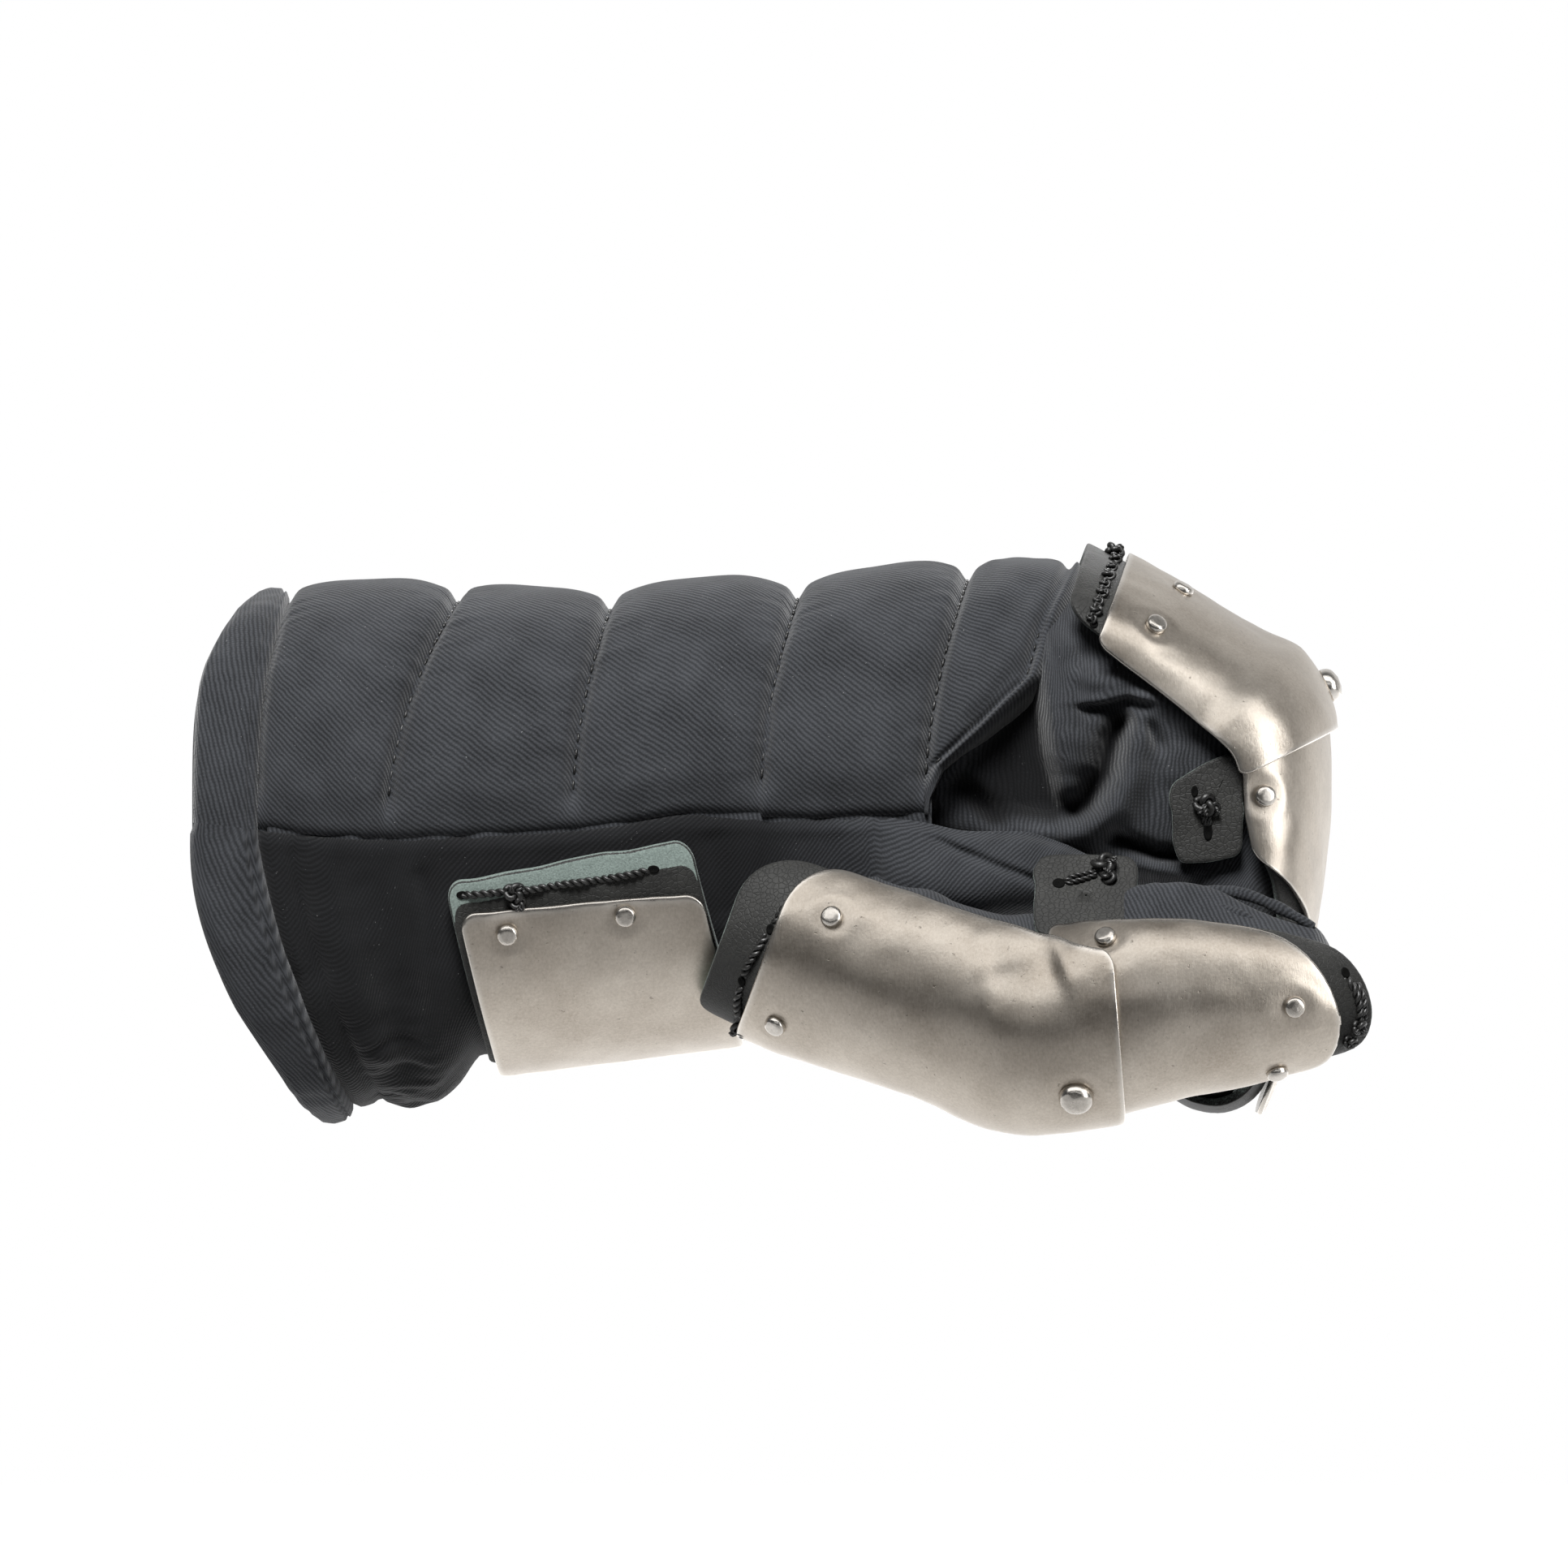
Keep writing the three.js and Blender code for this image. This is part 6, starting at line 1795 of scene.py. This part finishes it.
def lamp(name, place, aim, size, watts, lit=None):
    """A soft lamp. With `lit`, its light falls on those pieces alone, as if it were flagged."""
    light = bpy.data.lights.new(name, "AREA")
    light.shape = "RECTANGLE"
    light.size, light.size_y = size
    light.energy = watts
    holder = bpy.data.objects.new(name, light)
    holder.location = place
    holder.rotation_euler = (Vector(aim) - Vector(place)).to_track_quat("-Z", "Y").to_euler()
    holder.visible_camera = False
    bpy.context.scene.collection.objects.link(holder)
    if lit is not None:
        group = bpy.data.collections.new(name + "_falls_on")
        for piece in lit:
            group.objects.link(piece)
        holder.light_linking.receiver_collection = group


soft = [piece for piece in pieces.values() if "steel" not in piece["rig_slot"]]
hard = [piece for piece in pieces.values() if "steel" in piece["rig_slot"]]
middle = (0.03, 0, 0)
lamp("key", (-0.12, -1.35, 1.5), middle, (0.7, 0.7), 78, soft)
lamp("back", (0.3, 1.6, 1.4), middle, (1.2, 0.9), 22, soft)
lamp("sky", (0.0, -0.7, 1.0), middle, (2.6, 0.8), 11.5, hard)
lamp("front", (0.0, -2.4, 0.75), middle, (3.0, 0.5), 4.0, hard)
lamp("side", (1.5, -0.9, 0.35), middle, (0.8, 1.4), 16, hard)
lamp("under", (0.05, 0.85, 0.5), (0.05, 0.66, FLOOR), (2.4, 0.6), 30, [floor])

# %% Studio walls
world = bpy.data.worlds.new("studio")
world.use_nodes = True
room = world.node_tree
room.nodes.clear()
air = room.nodes.new("ShaderNodeBackground")
output = room.nodes.new("ShaderNodeOutputWorld")
room.links.new(air.outputs[0], output.inputs[0])
way = room.nodes.new("ShaderNodeTexCoord")
split = room.nodes.new("ShaderNodeSeparateXYZ")
room.links.new(way.outputs["Generated"], split.inputs[0])
behind = (Wire(room, split.outputs[1]) * 1.6).at_most(1).at_least(0)
low = (Wire(room, split.outputs[2]) * -2.0 + 0.6).at_most(1).at_least(0.0)
seen = Wire(room, room.nodes.new("ShaderNodeLightPath").outputs["Is Camera Ray"])
glow = behind * (low * 0.5 + 0.75) + 0.07
air.inputs[0].default_value = (1, 1, 1, 1)
plug(room, air.inputs[1], seen + glow * (1 - seen))
bpy.context.scene.world = world
bpy.context.scene.view_settings.view_transform = "Standard"
print("studio floor at", round(FLOOR, 3))
